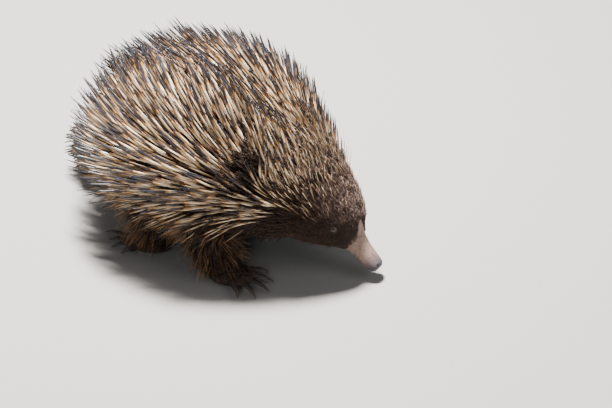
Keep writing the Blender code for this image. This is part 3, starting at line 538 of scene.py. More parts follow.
def strands(name, finish, roots, knees, tips, radii, profile, sides, charted, shades):
    """A piece of tapering strands, each bent from its root past its knee to its tip, with a mark of the share
    along it, a mark of its own shade, and its patch of the map at its root's place on the hide."""
    count, rings = len(roots), len(profile)
    way = unit(tips - roots)
    across = unit(np.cross(way, (0.31, 0.52, 0.79)))
    over = np.cross(way, across)
    share = np.array([s for s, _ in profile])
    wide = np.array([w for _, w in profile])
    s = share[None, :, None]
    centres = (1 - s) ** 2 * roots[:, None] + 2 * s * (1 - s) * knees[:, None] + s**2 * tips[:, None]
    turn = math.tau * np.arange(sides) / sides
    spoke = across[:, None] * np.cos(turn)[None, :, None] + over[:, None] * np.sin(turn)[None, :, None]
    rim = centres[:, :, None] + spoke[:, None] * (radii[:, None] * wide[None])[:, :, None, None]
    points = np.concatenate([rim.reshape(count, rings * sides, 3), tips[:, None]], 1)
    each = rings * sides + 1
    around = np.arange(sides)
    ring, k = np.meshgrid(np.arange(rings - 1) * sides, around, indexing="ij")
    after = (k + 1) % sides
    walls = np.stack([ring + k, ring + after, ring + sides + after, ring + sides + k], -1).reshape(-1, 4)
    last = (rings - 1) * sides
    point = np.stack([last + around, last + (around + 1) % sides, np.full(sides, each - 1)], -1)
    foot = around[::-1][None]
    starts = (np.arange(count) * each)[:, None, None]
    faces = [(starts + part[None]).reshape(-1, part.shape[1]) for part in (walls, point, foot)]
    mesh = bpy.data.meshes.new(name)
    mesh.vertices.add(count * each)
    mesh.vertices.foreach_set("co", points.ravel())
    corners = np.concatenate([part.ravel() for part in faces])
    sizes = np.concatenate([np.full(len(part), part.shape[1]) for part in faces])
    mesh.loops.add(len(corners))
    mesh.loops.foreach_set("vertex_index", corners)
    mesh.polygons.add(len(sizes))
    mesh.polygons.foreach_set("loop_start", np.concatenate([[0], np.cumsum(sizes)[:-1]]))
    mesh.polygons.foreach_set("use_smooth", np.ones(len(sizes), bool))
    mesh.update(calc_edges=True)
    place_along = np.tile(np.append(np.repeat(share, sides), 1.0), (count, 1))
    place_round = np.tile(np.append(np.tile(np.arange(sides) / sides, rings), 0.5), (count, 1))
    patch = charted[:, None] + PATCH * (np.stack([place_round, place_along], -1) - 0.5)
    mesh.uv_layers.new(name="OFBake").data.foreach_set("uv", patch.reshape(-1, 2)[corners].ravel())
    mesh.attributes.new("along", "FLOAT", "POINT").data.foreach_set("value", place_along.ravel())
    mesh.attributes.new("shade", "FLOAT", "POINT").data.foreach_set("value", np.repeat(shades, each))
    mesh.materials.append(finish)
    piece = bpy.data.objects.new(name, mesh)
    bpy.context.scene.collection.objects.link(piece)
    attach(piece, "root")


def body_chart(t, angle):
    """The place on the coat's map of t and angle: once round the body across it, and its length up it."""
    return np.stack([np.mod(angle / math.tau, 1), BODY_CHART_LOW + BODY_CHART_HEIGHT * t / BEAK_END], 1)


def inside(tree, spots, margin=0.0):
    """Which of these spots lie inside a closed skin, or within a margin of it."""
    found = []
    for spot in spots:
        near, normal, _, gap = tree.find_nearest(Vector(spot))
        found.append((Vector(spot) - near).dot(normal) < 0 or gap < margin)
    return np.array(found)


ears = {word: body_point([EAR_ALONG], [angle], FUR_BACK)[0] for word, angle in EAR_ANGLES.items()}


def spine_ways(t, angle, seed, reach):
    """Roots in the hide, knees at the top of the underfur and tips for spines of this reach. They stand up
    most on the middle of the back, fan out at the rear, part round the ears and lie flattest on the crown."""
    chance = np.random.default_rng(seed)
    place, out, back, up = hide_ways(t, angle)
    from_top = np.degrees(np.abs(angle - math.pi / 2))
    rising = ease(from_top, 0, 14) - 0.6 * ease(from_top, 40, 80) - 1.6 * ease(from_top, 84, 124)
    upright = (1 - ease(t, *UPRIGHT_TO)) * (1 - ease(from_top, 35, 75))
    rear = 1 - ease(t, *REAR_TO)
    crown = ease(t, *CROWN_FROM)
    ahead = place + unit(back) * EAR_PARTING
    past_ear = np.min([np.linalg.norm(ahead - ear, axis=1) for ear in ears.values()], axis=0)
    beside = np.exp(-((past_ear / BESIDE_EAR) ** 2))
    leans_out = LEAN_OUT + UPRIGHT_OUT * upright + REAR_OUT * rear + BESIDE_OUT * beside + CROWN_OUT * crown
    lean = (
        back * ((LEAN_BACK + UPRIGHT_BACK * upright) * (1 + REAR_BACK * rear) + BESIDE_BACK * beside)[:, None]
        + out * leans_out[:, None]
        + up * (LEAN_UP * rising + BESIDE_UP * beside)[:, None]
        + ruffled(t, angle, RUFFLE) * (1 - 0.3 * crown)[:, None]
        + chance.normal(0, STRAY, (len(t), 3)) * (1 - 0.4 * crown)[:, None]
    )
    shorter = 1 - 0.10 * ease(-np.sin(angle), 0.0, 0.6) - 0.10 * rear
    length = reach * shorter * chance.uniform(0.78, 1.10, len(t))
    roots = body_point(t + 0.02, angle, -0.0008)
    tips = place + unit(lean) * length[:, None]
    knees = place + unit(lean) * 0.004 - out * 0.003 + chance.normal(0, 0.0010, (len(t), 3))
    return roots, knees, tips


def clear_of_ears(spots, gap):
    """Which spots lie outside an upright oval of this half width round each ear, narrower round the left."""
    clear = np.ones(len(spots), bool)
    for word, angle in EAR_ANGLES.items():
        _, _, back, up = (v[0] for v in hide_ways(np.array([EAR_ALONG]), np.array([angle])))
        off = spots - ears[word]
        half_width = gap * EAR_CLEAR_SHARE[word]
        clear &= np.hypot(off @ back / half_width, (off @ up) / (1.7 * half_width)) > 1
    return clear


def spine_spacing(t):
    return SPINE_SPACING - 0.0018 * ease(t, *CROWN_FROM)


spine_t, spine_angle = coat_places(0.12, SPINES_TO, LOWEST_SPINE, math.pi - LOWEST_SPINE, spine_spacing, 11)
thinning = ease(spine_t, *NECK_FROM)
low_edge = LOWEST_SPINE + EDGE_RISE * ease(spine_t, *EDGE_RISES)
kept = (spine_angle > low_edge) & (spine_angle < math.pi - low_edge)
spine_t, spine_angle, thinning = spine_t[kept], spine_angle[kept], thinning[kept]
chance = np.random.default_rng(14)
on_skirt = ease(-np.sin(spine_angle), *SKIRT_ZONE)
fewer = SKIRT_FEWER * on_skirt + CROWN_FEWER * ease(spine_t, *CROWN_ZONE)
kept = chance.uniform(0, 1, len(spine_t)) > fewer
spine_t, spine_angle = spine_t[kept], spine_angle[kept]
thinning, on_skirt = thinning[kept], on_skirt[kept]
roots, knees, tips = spine_ways(spine_t, spine_angle, 12, SPINE_REACH * (1 - NECK_SHORTER * thinning))
kept = clear_of_ears(knees, EAR_CLEAR) & clear_of_ears(knees * 0.7 + tips * 0.3, EAR_CLEAR * 0.75)
kept &= tips[:, 2] > 0.003
kept &= ~inside(limb_tree, knees + (tips - knees) * 0.5) & ~inside(limb_tree, tips)
chance = np.random.default_rng(13)
spine_shade = chance.uniform(0, 1, len(spine_t))
# Painted shade: each spine's shade is lowered on the lower flank and over the rump. The thinner spines of the
# neck are darker too.
rear_shaded = 1 - ease(spine_t, *REAR_SHADE_TO)
spine_shade *= (1 - SKIRT_PAINTED_SHADE * on_skirt) * (1 - REAR_PAINTED_SHADE * rear_shaded) * (1 - NECK_DARKER * thinning)
slimmer = (1 - NECK_SLIMMER * thinning) * (1 - SKIRT_SLIMMER * on_skirt)
spine_radii = SPINE_RADIUS * slimmer * chance.uniform(0.70, 1.20, len(spine_t))

spine_finish, tree, shader = finish_named("spine_horn", 0.32, Specular_IOR_Level=0.40, Coat_Weight=0.1)
shader.inputs["Coat Roughness"].default_value = 0.18
moved = sum_of(tree, "MULTIPLY", sum_of(tree, "SUBTRACT", mark(tree, "shade"), 0.5), 0.22)
streak = noise(tree, 240)
streaked = sum_of(tree, "MULTIPLY", sum_of(tree, "SUBTRACT", streak, 0.5), 0.16)
place = sum_of(tree, "ADD", sum_of(tree, "ADD", mark(tree, "along"), moved), streaked, clamp=True)
bands = node(tree, "ShaderNodeValToRGB")
bands.color_ramp.interpolation = "EASE"
# Colours along a spine: brown near the root, deepening to near black at the very root as painted shade where
# it stands in the fur, then cream, an orange-brown band and a blue-black point.
SPINE_BANDS = (
    (0.00, (0.08, 0.038, 0.016)), (0.17, (0.40, 0.20, 0.08)), (0.28, (0.84, 0.67, 0.46)),
    (0.57, (0.93, 0.83, 0.66)), (0.68, (0.56, 0.33, 0.155)), (0.735, (0.050, 0.036, 0.032)),
    (1.00, (0.010, 0.014, 0.024)),
)
for number, (at, colour) in enumerate(SPINE_BANDS):
    stop = bands.color_ramp.elements[number] if number < 2 else bands.color_ramp.elements.new(at)
    stop.position = at
    stop.color = (*colour, 1)
join(tree, place, bands.inputs["Fac"])
# How pale each spine is follows its shade mark, which carries the painted shade of the lower flank and rump.
paler = node(tree, "ShaderNodeMapRange", interpolation_type="SMOOTHSTEP")
paler.inputs["From Max"].default_value = 0.6
paler.inputs["To Min"].default_value = 0.26
paler.inputs["To Max"].default_value = 1.06
join(tree, mark(tree, "shade"), paler.inputs["Value"])
amber = node(tree, "ShaderNodeMapRange")
amber.inputs["To Min"].default_value = 0.75
amber.inputs["To Max"].default_value = 0.0
join(tree, mark(tree, "shade"), amber.inputs["Value"])
tinted = blended(tree, amber.outputs["Result"], bands.outputs["Color"], (1.0, 0.76, 0.50, 1), "MULTIPLY")
toned = node(tree, "ShaderNodeHueSaturation")
join(tree, paler.outputs["Result"], toned.inputs["Value"])
join(tree, tinted, toned.inputs["Color"])
join(tree, toned.outputs["Color"], shader.inputs["Base Color"])
ridges = node(tree, "ShaderNodeBump")
ridges.inputs["Distance"].default_value = 0.0002
ridges.inputs["Strength"].default_value = 0.5
join(tree, streak, ridges.inputs["Height"])
join(tree, ridges.outputs["Normal"], shader.inputs["Normal"])

for name, low, high in (("rump", 0, RUMP_TO), ("back", RUMP_TO, BACK_TO), ("neck", BACK_TO, BEAK_END)):
    take = kept & (spine_t >= low) & (spine_t < high)
    strands(
        f"spines_{name}", spine_finish, roots[take], knees[take], tips[take], spine_radii[take],
        SPINE_PROFILE, 6, body_chart(spine_t[take], spine_angle[take]), spine_shade[take],
    )

# The fur: coarse hair, nearly black-brown between the spines, browner and longer over the crown, and short
# and flat on the face. It grows from the hide in small tufts that lie back along the body.
UNDERFUR_PROFILE = ((0.0, 0.9), (0.45, 1.0), (0.78, 0.6))
HAIR_PROFILE = ((0.0, 1.0), (0.55, 0.75))
ROOT_DEPTH, LENGTHS, THICKNESSES = 0.0006, (0.7, 1.15), (0.7, 1.3)
BROW_FUR_BACK, BROW_FUR_WIDTH, FUR_PAST_LINE = 1.05, 0.42, 0.25


def hair_group():
    """The tone of a tuft, from its root through its shaft to its tip, a little different on every tuft."""
    group = bpy.data.node_groups.new("tuft_tone", "ShaderNodeTree")
    for name in ("Root", "Shaft", "Tip"):
        group.interface.new_socket(name, in_out="INPUT", socket_type="NodeSocketColor")
    group.interface.new_socket("Color", in_out="OUTPUT", socket_type="NodeSocketColor")
    enter, leave = node(group, "NodeGroupInput"), node(group, "NodeGroupOutput")
    low = node(group, "ShaderNodeMapRange")
    low.inputs["From Max"].default_value = 0.5
    high = node(group, "ShaderNodeMapRange")
    high.inputs["From Min"].default_value = 0.5
    for half in (low, high):
        join(group, mark(group, "along"), half.inputs["Value"])
    lower = blended(group, low.outputs["Result"], enter.outputs["Root"], enter.outputs["Shaft"])
    whole = blended(group, high.outputs["Result"], lower, enter.outputs["Tip"])
    tone = node(group, "ShaderNodeMapRange")
    tone.inputs["To Min"].default_value = 0.55
    tone.inputs["To Max"].default_value = 1.45
    join(group, mark(group, "shade"), tone.inputs["Value"])
    toned = node(group, "ShaderNodeHueSaturation")
    join(group, tone.outputs["Result"], toned.inputs["Value"])
    join(group, whole, toned.inputs["Color"])
    join(group, toned.outputs["Color"], leave.inputs["Color"])
    return group


tuft_tone = hair_group()


def hair_finish(name, root, shaft, tip, roughness):
    """The finish of one kind of hair, in its own three colours."""
    finish, tree, shader = finish_named(name, roughness, Specular_IOR_Level=0.25)
    group = node(tree, "ShaderNodeGroup", node_tree=tuft_tone)
    for key, colour in (("Root", root), ("Shaft", shaft), ("Tip", tip)):
        group.inputs[key].default_value = (*colour, 1)
    join(tree, group.outputs["Color"], shader.inputs["Base Color"])
    return finish


dark_fur = hair_finish("dark_fur", (0.010, 0.006, 0.005), (0.020, 0.012, 0.009), (0.050, 0.029, 0.018), 0.55)
crown_fur = hair_finish("crown_fur", (0.011, 0.006, 0.005), (0.036, 0.019, 0.014), (0.07, 0.038, 0.028), 0.62)
face_fur = hair_finish("face_fur", (0.016, 0.010, 0.008), (0.036, 0.021, 0.015), (0.092, 0.057, 0.043), 0.5)
straw = hair_finish("straw_bristle", (0.07, 0.036, 0.019), (0.36, 0.23, 0.125), (0.50, 0.35, 0.21), 0.38)
leg_bristle = hair_finish(
    "leg_bristle", (0.024, 0.013, 0.008), (0.125, 0.064, 0.028), (0.27, 0.155, 0.07), 0.42,
)


def hair_on_body(name, finish, seed, run, round_it, spacing, reach, radius, lie, profile, sides, ear_gap=0.0):
    """One kind of hair over a stretch of the body: its run of t, its angles round it, its spacing and reach
    at each t, its radius, and its lie, which is how far it leans back, out and up the flank."""
    t, angle = coat_places(*run, *round_it, spacing, seed)
    chance = np.random.default_rng(seed + 1)
    place, out, back, up = hide_ways(t, angle, 0.0)
    lean = back * lie[0] + out * lie[1] + up * lie[2] + ruffled(t, angle, 0.08)
    lean += chance.normal(0, 0.10, lean.shape)
    length = reach(t) * chance.uniform(*LENGTHS, len(t))
    tips = place + unit(lean) * length[:, None]
    knees = place + unit(lean + out * 0.5) * (0.5 * length)[:, None]
    take = (tips[:, 2] > 0.002) & ~inside(limb_tree, tips)
    off_brow = (angle - math.pi / 2) / BROW_FUR_WIDTH
    take &= t < FUR_LINE + FUR_PAST_LINE - BROW_FUR_BACK * np.exp(-(off_brow**2))
    if ear_gap:
        take &= clear_of_ears(knees, ear_gap)
    roots = place - out * ROOT_DEPTH
    radii = radius * chance.uniform(*THICKNESSES, len(t))
    strands(
        name, finish, roots[take], knees[take], tips[take], radii[take], profile, sides,
        body_chart(t, angle)[take], chance.uniform(0, 1, len(t))[take],
    )


hair_on_body(
    "fur_under_spines", dark_fur, 21, run=(0.1, 9.0), round_it=(LOWEST_SPINE, math.pi - LOWEST_SPINE),
    spacing=lambda t: 0.0044, reach=lambda t: 0.020 - 0.004 * ease(t, 7, 9) + 0.007 * (1 - ease(t, 1, 3)),
    radius=0.00075, lie=(0.70, 0.62, 0.15), profile=UNDERFUR_PROFILE, sides=3,
)
hair_on_body(
    "fur_crown", crown_fur, 31, run=(7.3, 11.3), round_it=np.radians((-30, 210)),
    spacing=lambda t: 0.0018 - 0.0004 * ease(t, 9, 11), reach=lambda t: 0.020 - 0.0120 * ease(t, 8.0, 11.2),
    radius=0.00025, lie=(0.92, 0.30, 0.16), profile=HAIR_PROFILE, sides=3, ear_gap=0.008,
)
hair_on_body(
    "bristles_crown", straw, 41, run=(8.2, 10.3), round_it=np.radians((20, 160)),
    spacing=lambda t: 0.0056 + 0.0026 * ease(t, 9.0, 10.2),
    reach=lambda t: 0.026 - 0.016 * ease(t, 8.4, 10.3),
    radius=0.00027, lie=(0.90, 0.22, 0.24), profile=UNDERFUR_PROFILE, sides=4, ear_gap=0.011,
)
hair_on_body(
    "fur_face", face_fur, 51, run=(9.6, 12.25), round_it=np.radians((-90, 270)),
    spacing=lambda t: 0.0014 - 0.0003 * ease(t, 10.5, 12),
    reach=lambda t: 0.0088 - 0.0046 * ease(t, 10.0, 12.0),
    radius=0.00024, lie=(0.90, 0.28, 0.04), profile=HAIR_PROFILE, sides=3,
)
hair_on_body(
    "fur_belly", dark_fur, 61, run=(0.3, 10.0), round_it=(math.pi - LOWEST_SPINE, math.tau + LOWEST_SPINE),
    spacing=lambda t: 0.0042, reach=lambda t: 0.014 - 0.005 * ease(t, 7, 10),
    radius=0.00055, lie=(0.85, 0.30, 0.10), profile=HAIR_PROFILE, sides=3,
)
for word, seed, edge in (("left", 81, (-40, -8)), ("right", 83, (188, 220))):
    hair_on_body(
        f"bristles_skirt_{word}", leg_bristle, seed, run=(2.2, 7.0), round_it=np.radians(edge),
        spacing=lambda t: 0.0052, reach=lambda t: 0.044,
        radius=0.00046, lie=(0.62, 0.40, -0.56), profile=UNDERFUR_PROFILE, sides=4,
    )
hair_on_body(
    "fur_cheeks", dark_fur, 71, run=(7.4, 10.2), round_it=np.radians((140, 400)),
    spacing=lambda t: 0.0024, reach=lambda t: 0.014 - 0.005 * ease(t, 8, 10),
    radius=0.00030, lie=(0.86, 0.32, 0.05), profile=HAIR_PROFILE, sides=3, ear_gap=0.006,
)

# Hair of the legs, feet and tail: long bristles on the legs, brown with paler tips, that fan down and back
# over the feet, spines of its own on the tail, and short hair over the tops of the feet. All of it grows from
# the hide, like the rest of the coat.
LIMB_CHART_LEFT, LIMB_CHART_LOW, LIMB_CHART_APART = 0.02, 0.02, 0.195
LIMB_CHART_WIDTH, LIMB_CHART_HEIGHT, FOOT_CHART_LOW, FOOT_CHART_HEIGHT = 0.16, 0.22, 0.225, 0.03
LIMB_CHARTS = {name: LIMB_CHART_LEFT + LIMB_CHART_APART * k for k, name in enumerate((*LEGS, "tail"))}
BACKWARDS = np.array((-1.0, 0.0, 0.0))


def limb_chart(limb, angle, height):
    return np.stack([LIMB_CHARTS[limb] + LIMB_CHART_WIDTH * angle / math.tau, LIMB_CHART_LOW + height], 1)


def hair_on_limb(
    name, finish, seed, limb, line, run, count, reach, radius, lie, profile, sides, palest=1,
):
    """One kind of hair over a stretch of a limb: the shares of its length it runs between, its reach, its
    radius, its palest shade, and its lie, which is how far it leans out of the limb, down it and back."""
    chance = np.random.default_rng(seed)
    share = chance.uniform(*run, count)
    angle = chance.uniform(0, math.tau, count)
    place, out, down = limb_point(line, share, angle)
    lean = out * lie[0] + down * lie[1] + BACKWARDS * lie[2] + chance.normal(0, 0.12, out.shape)
    length = reach * chance.uniform(0.65, 1.15, count)
    tips = place + unit(lean) * length[:, None]
    knees = place + unit(lean + out * 0.6) * (0.45 * length)[:, None]
    take = ~inside(body_tree, place, 0.0015) & (tips[:, 2] > 0.0012)
    roots = place - out * ROOT_DEPTH
    radii = radius * chance.uniform(*THICKNESSES, count)
    strands(
        name, finish, roots[take], knees[take], tips[take], radii[take], profile, sides,
        limb_chart(limb, angle, LIMB_CHART_HEIGHT * share)[take], chance.uniform(0, palest, count)[take],
    )


for number, (limb, line) in enumerate(LEGS.items()):
    hair_on_limb(
        f"fur_{limb}", dark_fur, 100 + 10 * number, limb, line, run=(0.15, 1.0), count=2900,
        reach=0.0145, radius=0.00050, lie=(0.42, 0.80, 0.20), profile=HAIR_PROFILE, sides=3,
    )
    hair_on_limb(
        f"bristles_{limb}", leg_bristle, 103 + 10 * number, limb, line, run=(0.2, 0.85), count=260,
        reach=0.027, radius=0.00034, lie=(0.62, 0.70, 0.32), profile=UNDERFUR_PROFILE, sides=4,
    )
hair_on_limb(
    "fur_tail", dark_fur, 150, "tail", TAIL, run=(0.25, 1.0), count=1500,
    reach=0.015, radius=0.00060, lie=(0.45, 0.85, 0.0), profile=HAIR_PROFILE, sides=3,
)
hair_on_limb(
    "spines_tail", spine_finish, 151, "tail", TAIL, run=(0.35, 1.0), count=300,
    reach=0.030, radius=0.00110, lie=(0.50, 0.80, 0.0), profile=SPINE_PROFILE, sides=6, palest=0.5,
)

FOOT_HAIRS, FOOT_HAIR_REACH, FOOT_HAIR_RADIUS, FOOT_HAIR_LOWEST = 520, 0.0062, 0.00034, 0.30
for number, (foot, ((x, y), heading, half_length, half_width, height)) in enumerate(FEET.items()):
    chance = np.random.default_rng(200 + number)
    round_it = chance.uniform(0, math.tau, FOOT_HAIRS)
    tilt = np.arcsin(chance.uniform(FOOT_HAIR_LOWEST, 1.0, FOOT_HAIRS))
    turn = np.array(Matrix.Rotation(math.radians(heading), 3, "Z"))
    out = np.stack([np.cos(tilt) * np.cos(round_it), np.cos(tilt) * np.sin(round_it), np.sin(tilt)], 1)
    sizes = np.array((half_length, half_width, height * FOOT_ROUND))
    place = np.array((x, y, height * SOLE_RISE)) + stance + (out * sizes) @ turn.T
    out = unit((out / sizes) @ turn.T)
    to_toes = np.array((math.cos(math.radians(heading)), math.sin(math.radians(heading)), 0))
    lean = out * 0.35 + to_toes * 0.8
    lean += chance.normal(0, 0.14, lean.shape)
    length = FOOT_HAIR_REACH * chance.uniform(0.7, 1.2, FOOT_HAIRS)
    tips = place + unit(lean) * length[:, None]
    knees = place + unit(lean + out * 0.4) * (0.5 * length)[:, None]
    radii = FOOT_HAIR_RADIUS * chance.uniform(*THICKNESSES, FOOT_HAIRS)
    strands(
        f"fur_{foot}", face_fur, place - out * 0.0005, knees, tips, radii, HAIR_PROFILE, 3,
        limb_chart(foot.replace("foot", "leg"), round_it, FOOT_CHART_LOW + FOOT_CHART_HEIGHT * tilt),
        chance.uniform(0, 1, FOOT_HAIRS),
    )

# The claws: digging claws of dark horn that grow from the toes, long and nearly straight on the forefeet. On
# the hind feet the second is the longest, curved for combing between the spines.
CLAW_LENGTH = {"fore": (0.015, 0.022, 0.024, 0.021, 0.014), "hind": (0.009, 0.028, 0.020, 0.016, 0.011)}
CLAW_HALF_WIDTH, CLAW_BEND = {"fore": 0.0034, "hind": 0.0030}, {"fore": 0.35, "hind": 0.5}
CLAW_TIP_HEIGHT, CLAW_ARCH, CLAW_IN_TOE = 0.0022, 0.0013, 0.14
CLAW_NARROWS, CLAW_THINS, CLAW_FLATNESS, CLAW_KEEL = 0.70, 0.60, 0.66, 0.72
CLAW_RINGS, CLAW_SIDES = 18, 14


def claw_place(foot, k):
    """The form of one claw, from inside its toe to its blunt point."""
    _, end, way = toe_line(foot, k)
    kind = foot[:4]
    length, half_width = CLAW_LENGTH[kind][k], CLAW_HALF_WIDTH[kind]
    across = np.array(Vector((-way.y, way.x, 0)).normalized())
    above = np.array(way.cross(Vector(across)))
    bend = CLAW_BEND[kind] * (1 if foot.endswith("left") else -1)

    def place(share, angle):
        far = np.clip(share * (1 + CLAW_IN_TOE) - CLAW_IN_TOE, -CLAW_IN_TOE, 1)
        slim = np.clip(far, 0, 1)
        centre = np.array(end) + np.array(way) * (length * far)[:, None]
        centre += across * (bend * length * 0.18 * far**2)[:, None]
        centre[:, 2] = end.z + (CLAW_TIP_HEIGHT - end.z) * far**2 + CLAW_ARCH * np.sin(math.pi * slim)
        point = np.sqrt(np.clip(1 - np.clip(share, 0, 1) ** 9, 0.004, 1))
        wide = half_width * (1 - CLAW_NARROWS * slim**1.6) * point
        thick = half_width * CLAW_FLATNESS * (1 - CLAW_THINS * slim**1.4) * point
        over = thick * np.where(np.sin(angle) < 0, CLAW_KEEL, 1.0)
        return centre + across * (np.cos(angle) * wide)[:, None] + above * (np.sin(angle) * over)[:, None]

    return place


horn, tree, shader = finish_named("claw_horn", 0.48, Specular_IOR_Level=0.30)
grain = noise(tree, 420, 4)
horn_dark = blended(tree, grain, (0.012, 0.010, 0.010, 1), (0.085, 0.066, 0.055, 1))
join(tree, horn_dark, shader.inputs["Base Color"])
grooves = node(tree, "ShaderNodeBump")
grooves.inputs["Distance"].default_value = 0.0002
join(tree, grain, grooves.inputs["Height"])
join(tree, grooves.outputs["Normal"], shader.inputs["Normal"])
for foot in FEET:
    bm = bmesh.new()
    for k in range(5):
        claw = sewn_tube(bmesh.new(), claw_place(foot, k), CLAW_RINGS, CLAW_SIDES)
        made = bpy.data.meshes.new("claw")
        claw.to_mesh(made)
        claw.free()
        bm.from_mesh(made)
    claws = new_piece(f"claws_{foot}", bm)
    claws.data.materials.append(horn)
    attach(claws, "root")
    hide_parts(*(f"claw_{foot}_{k + 1}" for k in range(5)))

# The eyes: small wet balls, nearly black, each set low in the hide in a ring of bare wrinkled lid whose upper
# fold is the thicker one.
EYE_RADIUS, EYE_SEGMENTS, GAZE = 0.0042, 32, (0.86, 0.36, 0.36)
LID_THICKNESS, LID_OUT, LID_RAISED, LID_FLATNESS, UPPER_FOLD = 0.0010, 0.90, 0.45, 0.86, 0.55
LID_RINGS, LID_SIDES = 40, 12
eye_wet, tree, shader = finish_named("eye", 0.03, Specular_IOR_Level=0.40, Coat_Weight=0.0)
iris = blended(tree, mark(tree, "iris"), (0.004, 0.003, 0.003, 1), (0.030, 0.016, 0.010, 1))
join(tree, iris, shader.inputs["Base Color"])
lid_skin, tree, shader = finish_named("lid_skin", 0.55, Specular_IOR_Level=0.4)
lid_creases = creased(tree, 2600, 900, shader, 0.00025)
# Painted shade: the lid's skin is darker in its creases.
lid_crease_shaded = blended(tree, lid_creases.outputs["Crease"], (0.050, 0.033, 0.028, 1), (0.018, 0.011, 0.009, 1))
join(tree, lid_crease_shaded, shader.inputs["Base Color"])
for side, word in ((-1, "right"), (1, "left")):
    centre = eye_centre(side)
    _, forward, left, up, _ = (Vector(v[0]) for v in body_section(EYE_ALONG))
    gaze = (left * side * GAZE[0] + up * GAZE[1] + forward * GAZE[2]).normalized()
    bm = bmesh.new()
    ball(bm, centre, (EYE_RADIUS,) * 3, segments=EYE_SEGMENTS)
    eye = new_piece(f"eyeball_{word}", bm)
    facing = np.array([(v.co - centre).normalized().dot(gaze) for v in eye.data.vertices])
    ringed = ease(facing, 0.62, 0.72) * (1 - ease(facing, 0.88, 0.92))
    eye.data.attributes.new("iris", "FLOAT", "POINT").data.foreach_set("value", ringed)
    eye.data.materials.append(eye_wet)
    turn = Vector((0, 0, 1)).rotation_difference(gaze).to_matrix()

    def lid_place(share, angle, turn=turn, centre=centre):
        round_eye = share * math.tau
        above = np.sin(round_eye)
        flat = np.stack([np.cos(round_eye), above, np.zeros(len(share))], 1)
        high = np.array((0.0, 0.0, 1.0))
        fold = LID_THICKNESS * (1 + 0.25 * above**2 + UPPER_FOLD * np.clip(above, 0, 1))
        spot = flat * (EYE_RADIUS * LID_OUT + np.cos(angle) * fold)[:, None]
        spot += high * (EYE_RADIUS * LID_RAISED + np.sin(angle) * fold)[:, None]
        spot[:, 1] *= LID_FLATNESS
        return spot @ np.array(turn).T + np.array(centre)

    lids = sewn_tube(bmesh.new(), lid_place, LID_RINGS, LID_SIDES)
    bmesh.ops.remove_doubles(lids, verts=lids.verts, dist=1e-6)
    lid = new_piece(f"lids_{word}", lids)
    lid.data.materials.append(lid_skin)
    for piece in (eye, lid):
        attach(piece, "root")
    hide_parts(f"eye_{word}")

# The ears: an upright slit on each side of the neck, in a low rim of dark skin that is part of the hide, and
# hidden among long black hair that grows round it.
EAR_HALF_WIDTH, EAR_HALF_HEIGHT, EAR_SUNK, EAR_RINGS, EAR_SIDES = 0.0052, 0.0115, 0.003, 20, 28
EAR_PROFILE = np.array((
    (1.15, -0.0080), (1.10, -0.0010), (1.0, 0.0022), (0.80, 0.0030), (0.55, 0.0005), (0.42, -0.0050),
))
EAR_HAIRS, EAR_HAIR_RADIUS, EAR_HAIR_REACH = 420, 0.00050, {"left": 0.017, "right": 0.026}
ear_skin, tree, shader = finish_named("ear_skin", 0.6, Specular_IOR_Level=0.35)
ear_creases = creased(tree, 1800, 500, shader, 0.0003)
# Painted shade: the ear rim's skin is darker in its creases.
ear_crease_shaded = blended(tree, ear_creases.outputs["Crease"], (0.055, 0.034, 0.028, 1), (0.014, 0.009, 0.008, 1))
join(tree, ear_crease_shaded, shader.inputs["Base Color"])
for word, angle in EAR_ANGLES.items():
    spot, out, back, up = (v[0] for v in hide_ways(np.array([EAR_ALONG]), np.array([angle])))

    def round_ear(turn, wide, tall, spot=spot, back=back, up=up):
        """A place round the ear's upright oval, at these shares of its half width and half height."""
        off_back = back * (np.cos(turn) * wide * EAR_HALF_WIDTH)[:, None]
        return spot + off_back + up * (np.sin(turn) * tall * EAR_HALF_HEIGHT)[:, None]

    def ear_place(share, turn, out=out, round_ear=round_ear):
        wide, high = along(EAR_PROFILE, share * (len(EAR_PROFILE) - 1)).T
        return round_ear(turn, wide, wide) + out * (high - EAR_SUNK)[:, None]

    ear = new_piece(f"ear_rim_{word}", sewn_tube(bmesh.new(), ear_place, EAR_RINGS, EAR_SIDES))
    ear.data.materials.append(ear_skin)
    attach(ear, "root")
    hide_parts(f"ear_{word}")
    chance = np.random.default_rng(300)
    turn = chance.uniform(0, math.tau, EAR_HAIRS)
    away = chance.uniform(1.15, 2.9, EAR_HAIRS)
    roots = round_ear(turn, away, 0.8 * away) - out * 0.008
    lean = back * 0.72 + out * 0.55 + up * 0.22 + chance.normal(0, 0.16, (EAR_HAIRS, 3))
    tips = roots + unit(lean) * (EAR_HAIR_REACH[word] * chance.uniform(*LENGTHS, EAR_HAIRS))[:, None]
    strands(
        f"fur_ear_{word}", dark_fur, roots, (roots + tips) / 2 + out * 0.002, tips,
        EAR_HAIR_RADIUS * chance.uniform(*THICKNESSES, EAR_HAIRS), UNDERFUR_PROFILE, 3,
        body_chart(EAR_ALONG + 0.15 * np.cos(turn) * away, angle + 0.12 * np.sin(turn) * away),
        chance.uniform(0, 0.7, EAR_HAIRS),
    )

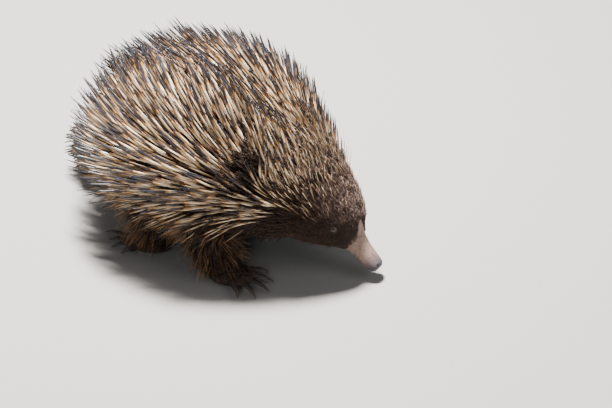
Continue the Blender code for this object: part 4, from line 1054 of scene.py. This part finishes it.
# Floor, light and camera: a pale studio floor, soft light with a key from above and behind, and the
# photograph's view, from the animal's right front and well above it, through a long lens.
FLOOR_HALF, AIM = 6.0, Vector((0.0, 0.0, 0.08))
VIEW_AZIMUTH, VIEW_ELEVATION, VIEW_DISTANCE = math.radians(40), math.radians(35), 3.0
VIEW_WIDTH, VIEW_RIGHT, VIEW_UP = 0.6426, 0.0893, 0.0105
SENSOR, SEEN_TO = 36.0, 50.0
bm = bmesh.new()
bmesh.ops.create_grid(bm, x_segments=1, y_segments=1, size=FLOOR_HALF)
floor = new_piece("floor", bm)
floor_finish, tree, shader = finish_named("floor", 0.75, Base_Color=(0.25, 0.24, 0.226, 1))
floor.data.materials.append(floor_finish)

ca, sa = math.cos(VIEW_AZIMUTH), math.sin(VIEW_AZIMUTH)
ce, se = math.cos(VIEW_ELEVATION), math.sin(VIEW_ELEVATION)
right, upward, toward = Vector((ca, sa, 0)), Vector((-sa * se, ca * se, ce)), Vector((sa * ce, -ca * ce, se))
lens = bpy.data.cameras.new("view")
lens.sensor_width = SENSOR
lens.lens = SENSOR * VIEW_DISTANCE / VIEW_WIDTH
lens.clip_end = SEEN_TO
camera = bpy.data.objects.new("view", lens)
camera.rotation_euler = Matrix((right, upward, toward)).transposed().to_euler()
camera.location = Vector(stance) + right * VIEW_RIGHT + upward * VIEW_UP + toward * VIEW_DISTANCE
bpy.context.scene.collection.objects.link(camera)
bpy.context.scene.camera = camera


def lamp(name, place, size, power, colour):
    light = bpy.data.lights.new(name, "AREA")
    light.shape, light.size, light.energy, light.color = "DISK", size, power, colour
    made = bpy.data.objects.new(name, light)
    made.location = place
    made.rotation_euler = (AIM - Vector(place)).to_track_quat("-Z", "Y").to_euler()
    bpy.context.scene.collection.objects.link(made)


lamp("key", (-0.40, 0.25, 1.86), 0.42, 345, (1.0, 0.965, 0.925))
lamp("fill", (0.9, -1.9, 1.1), 0.6, 10, (0.90, 0.95, 1.0))
lamp("side", (1.6, 0.4, 1.2), 1.2, 8, (1.0, 0.98, 0.95))
world = bpy.data.worlds.new("studio")
world.use_nodes = True
world.node_tree.nodes["Background"].inputs["Color"].default_value = (0.90, 0.93, 1.0, 1)
world.node_tree.nodes["Background"].inputs["Strength"].default_value = 0.25
bpy.context.scene.world = world
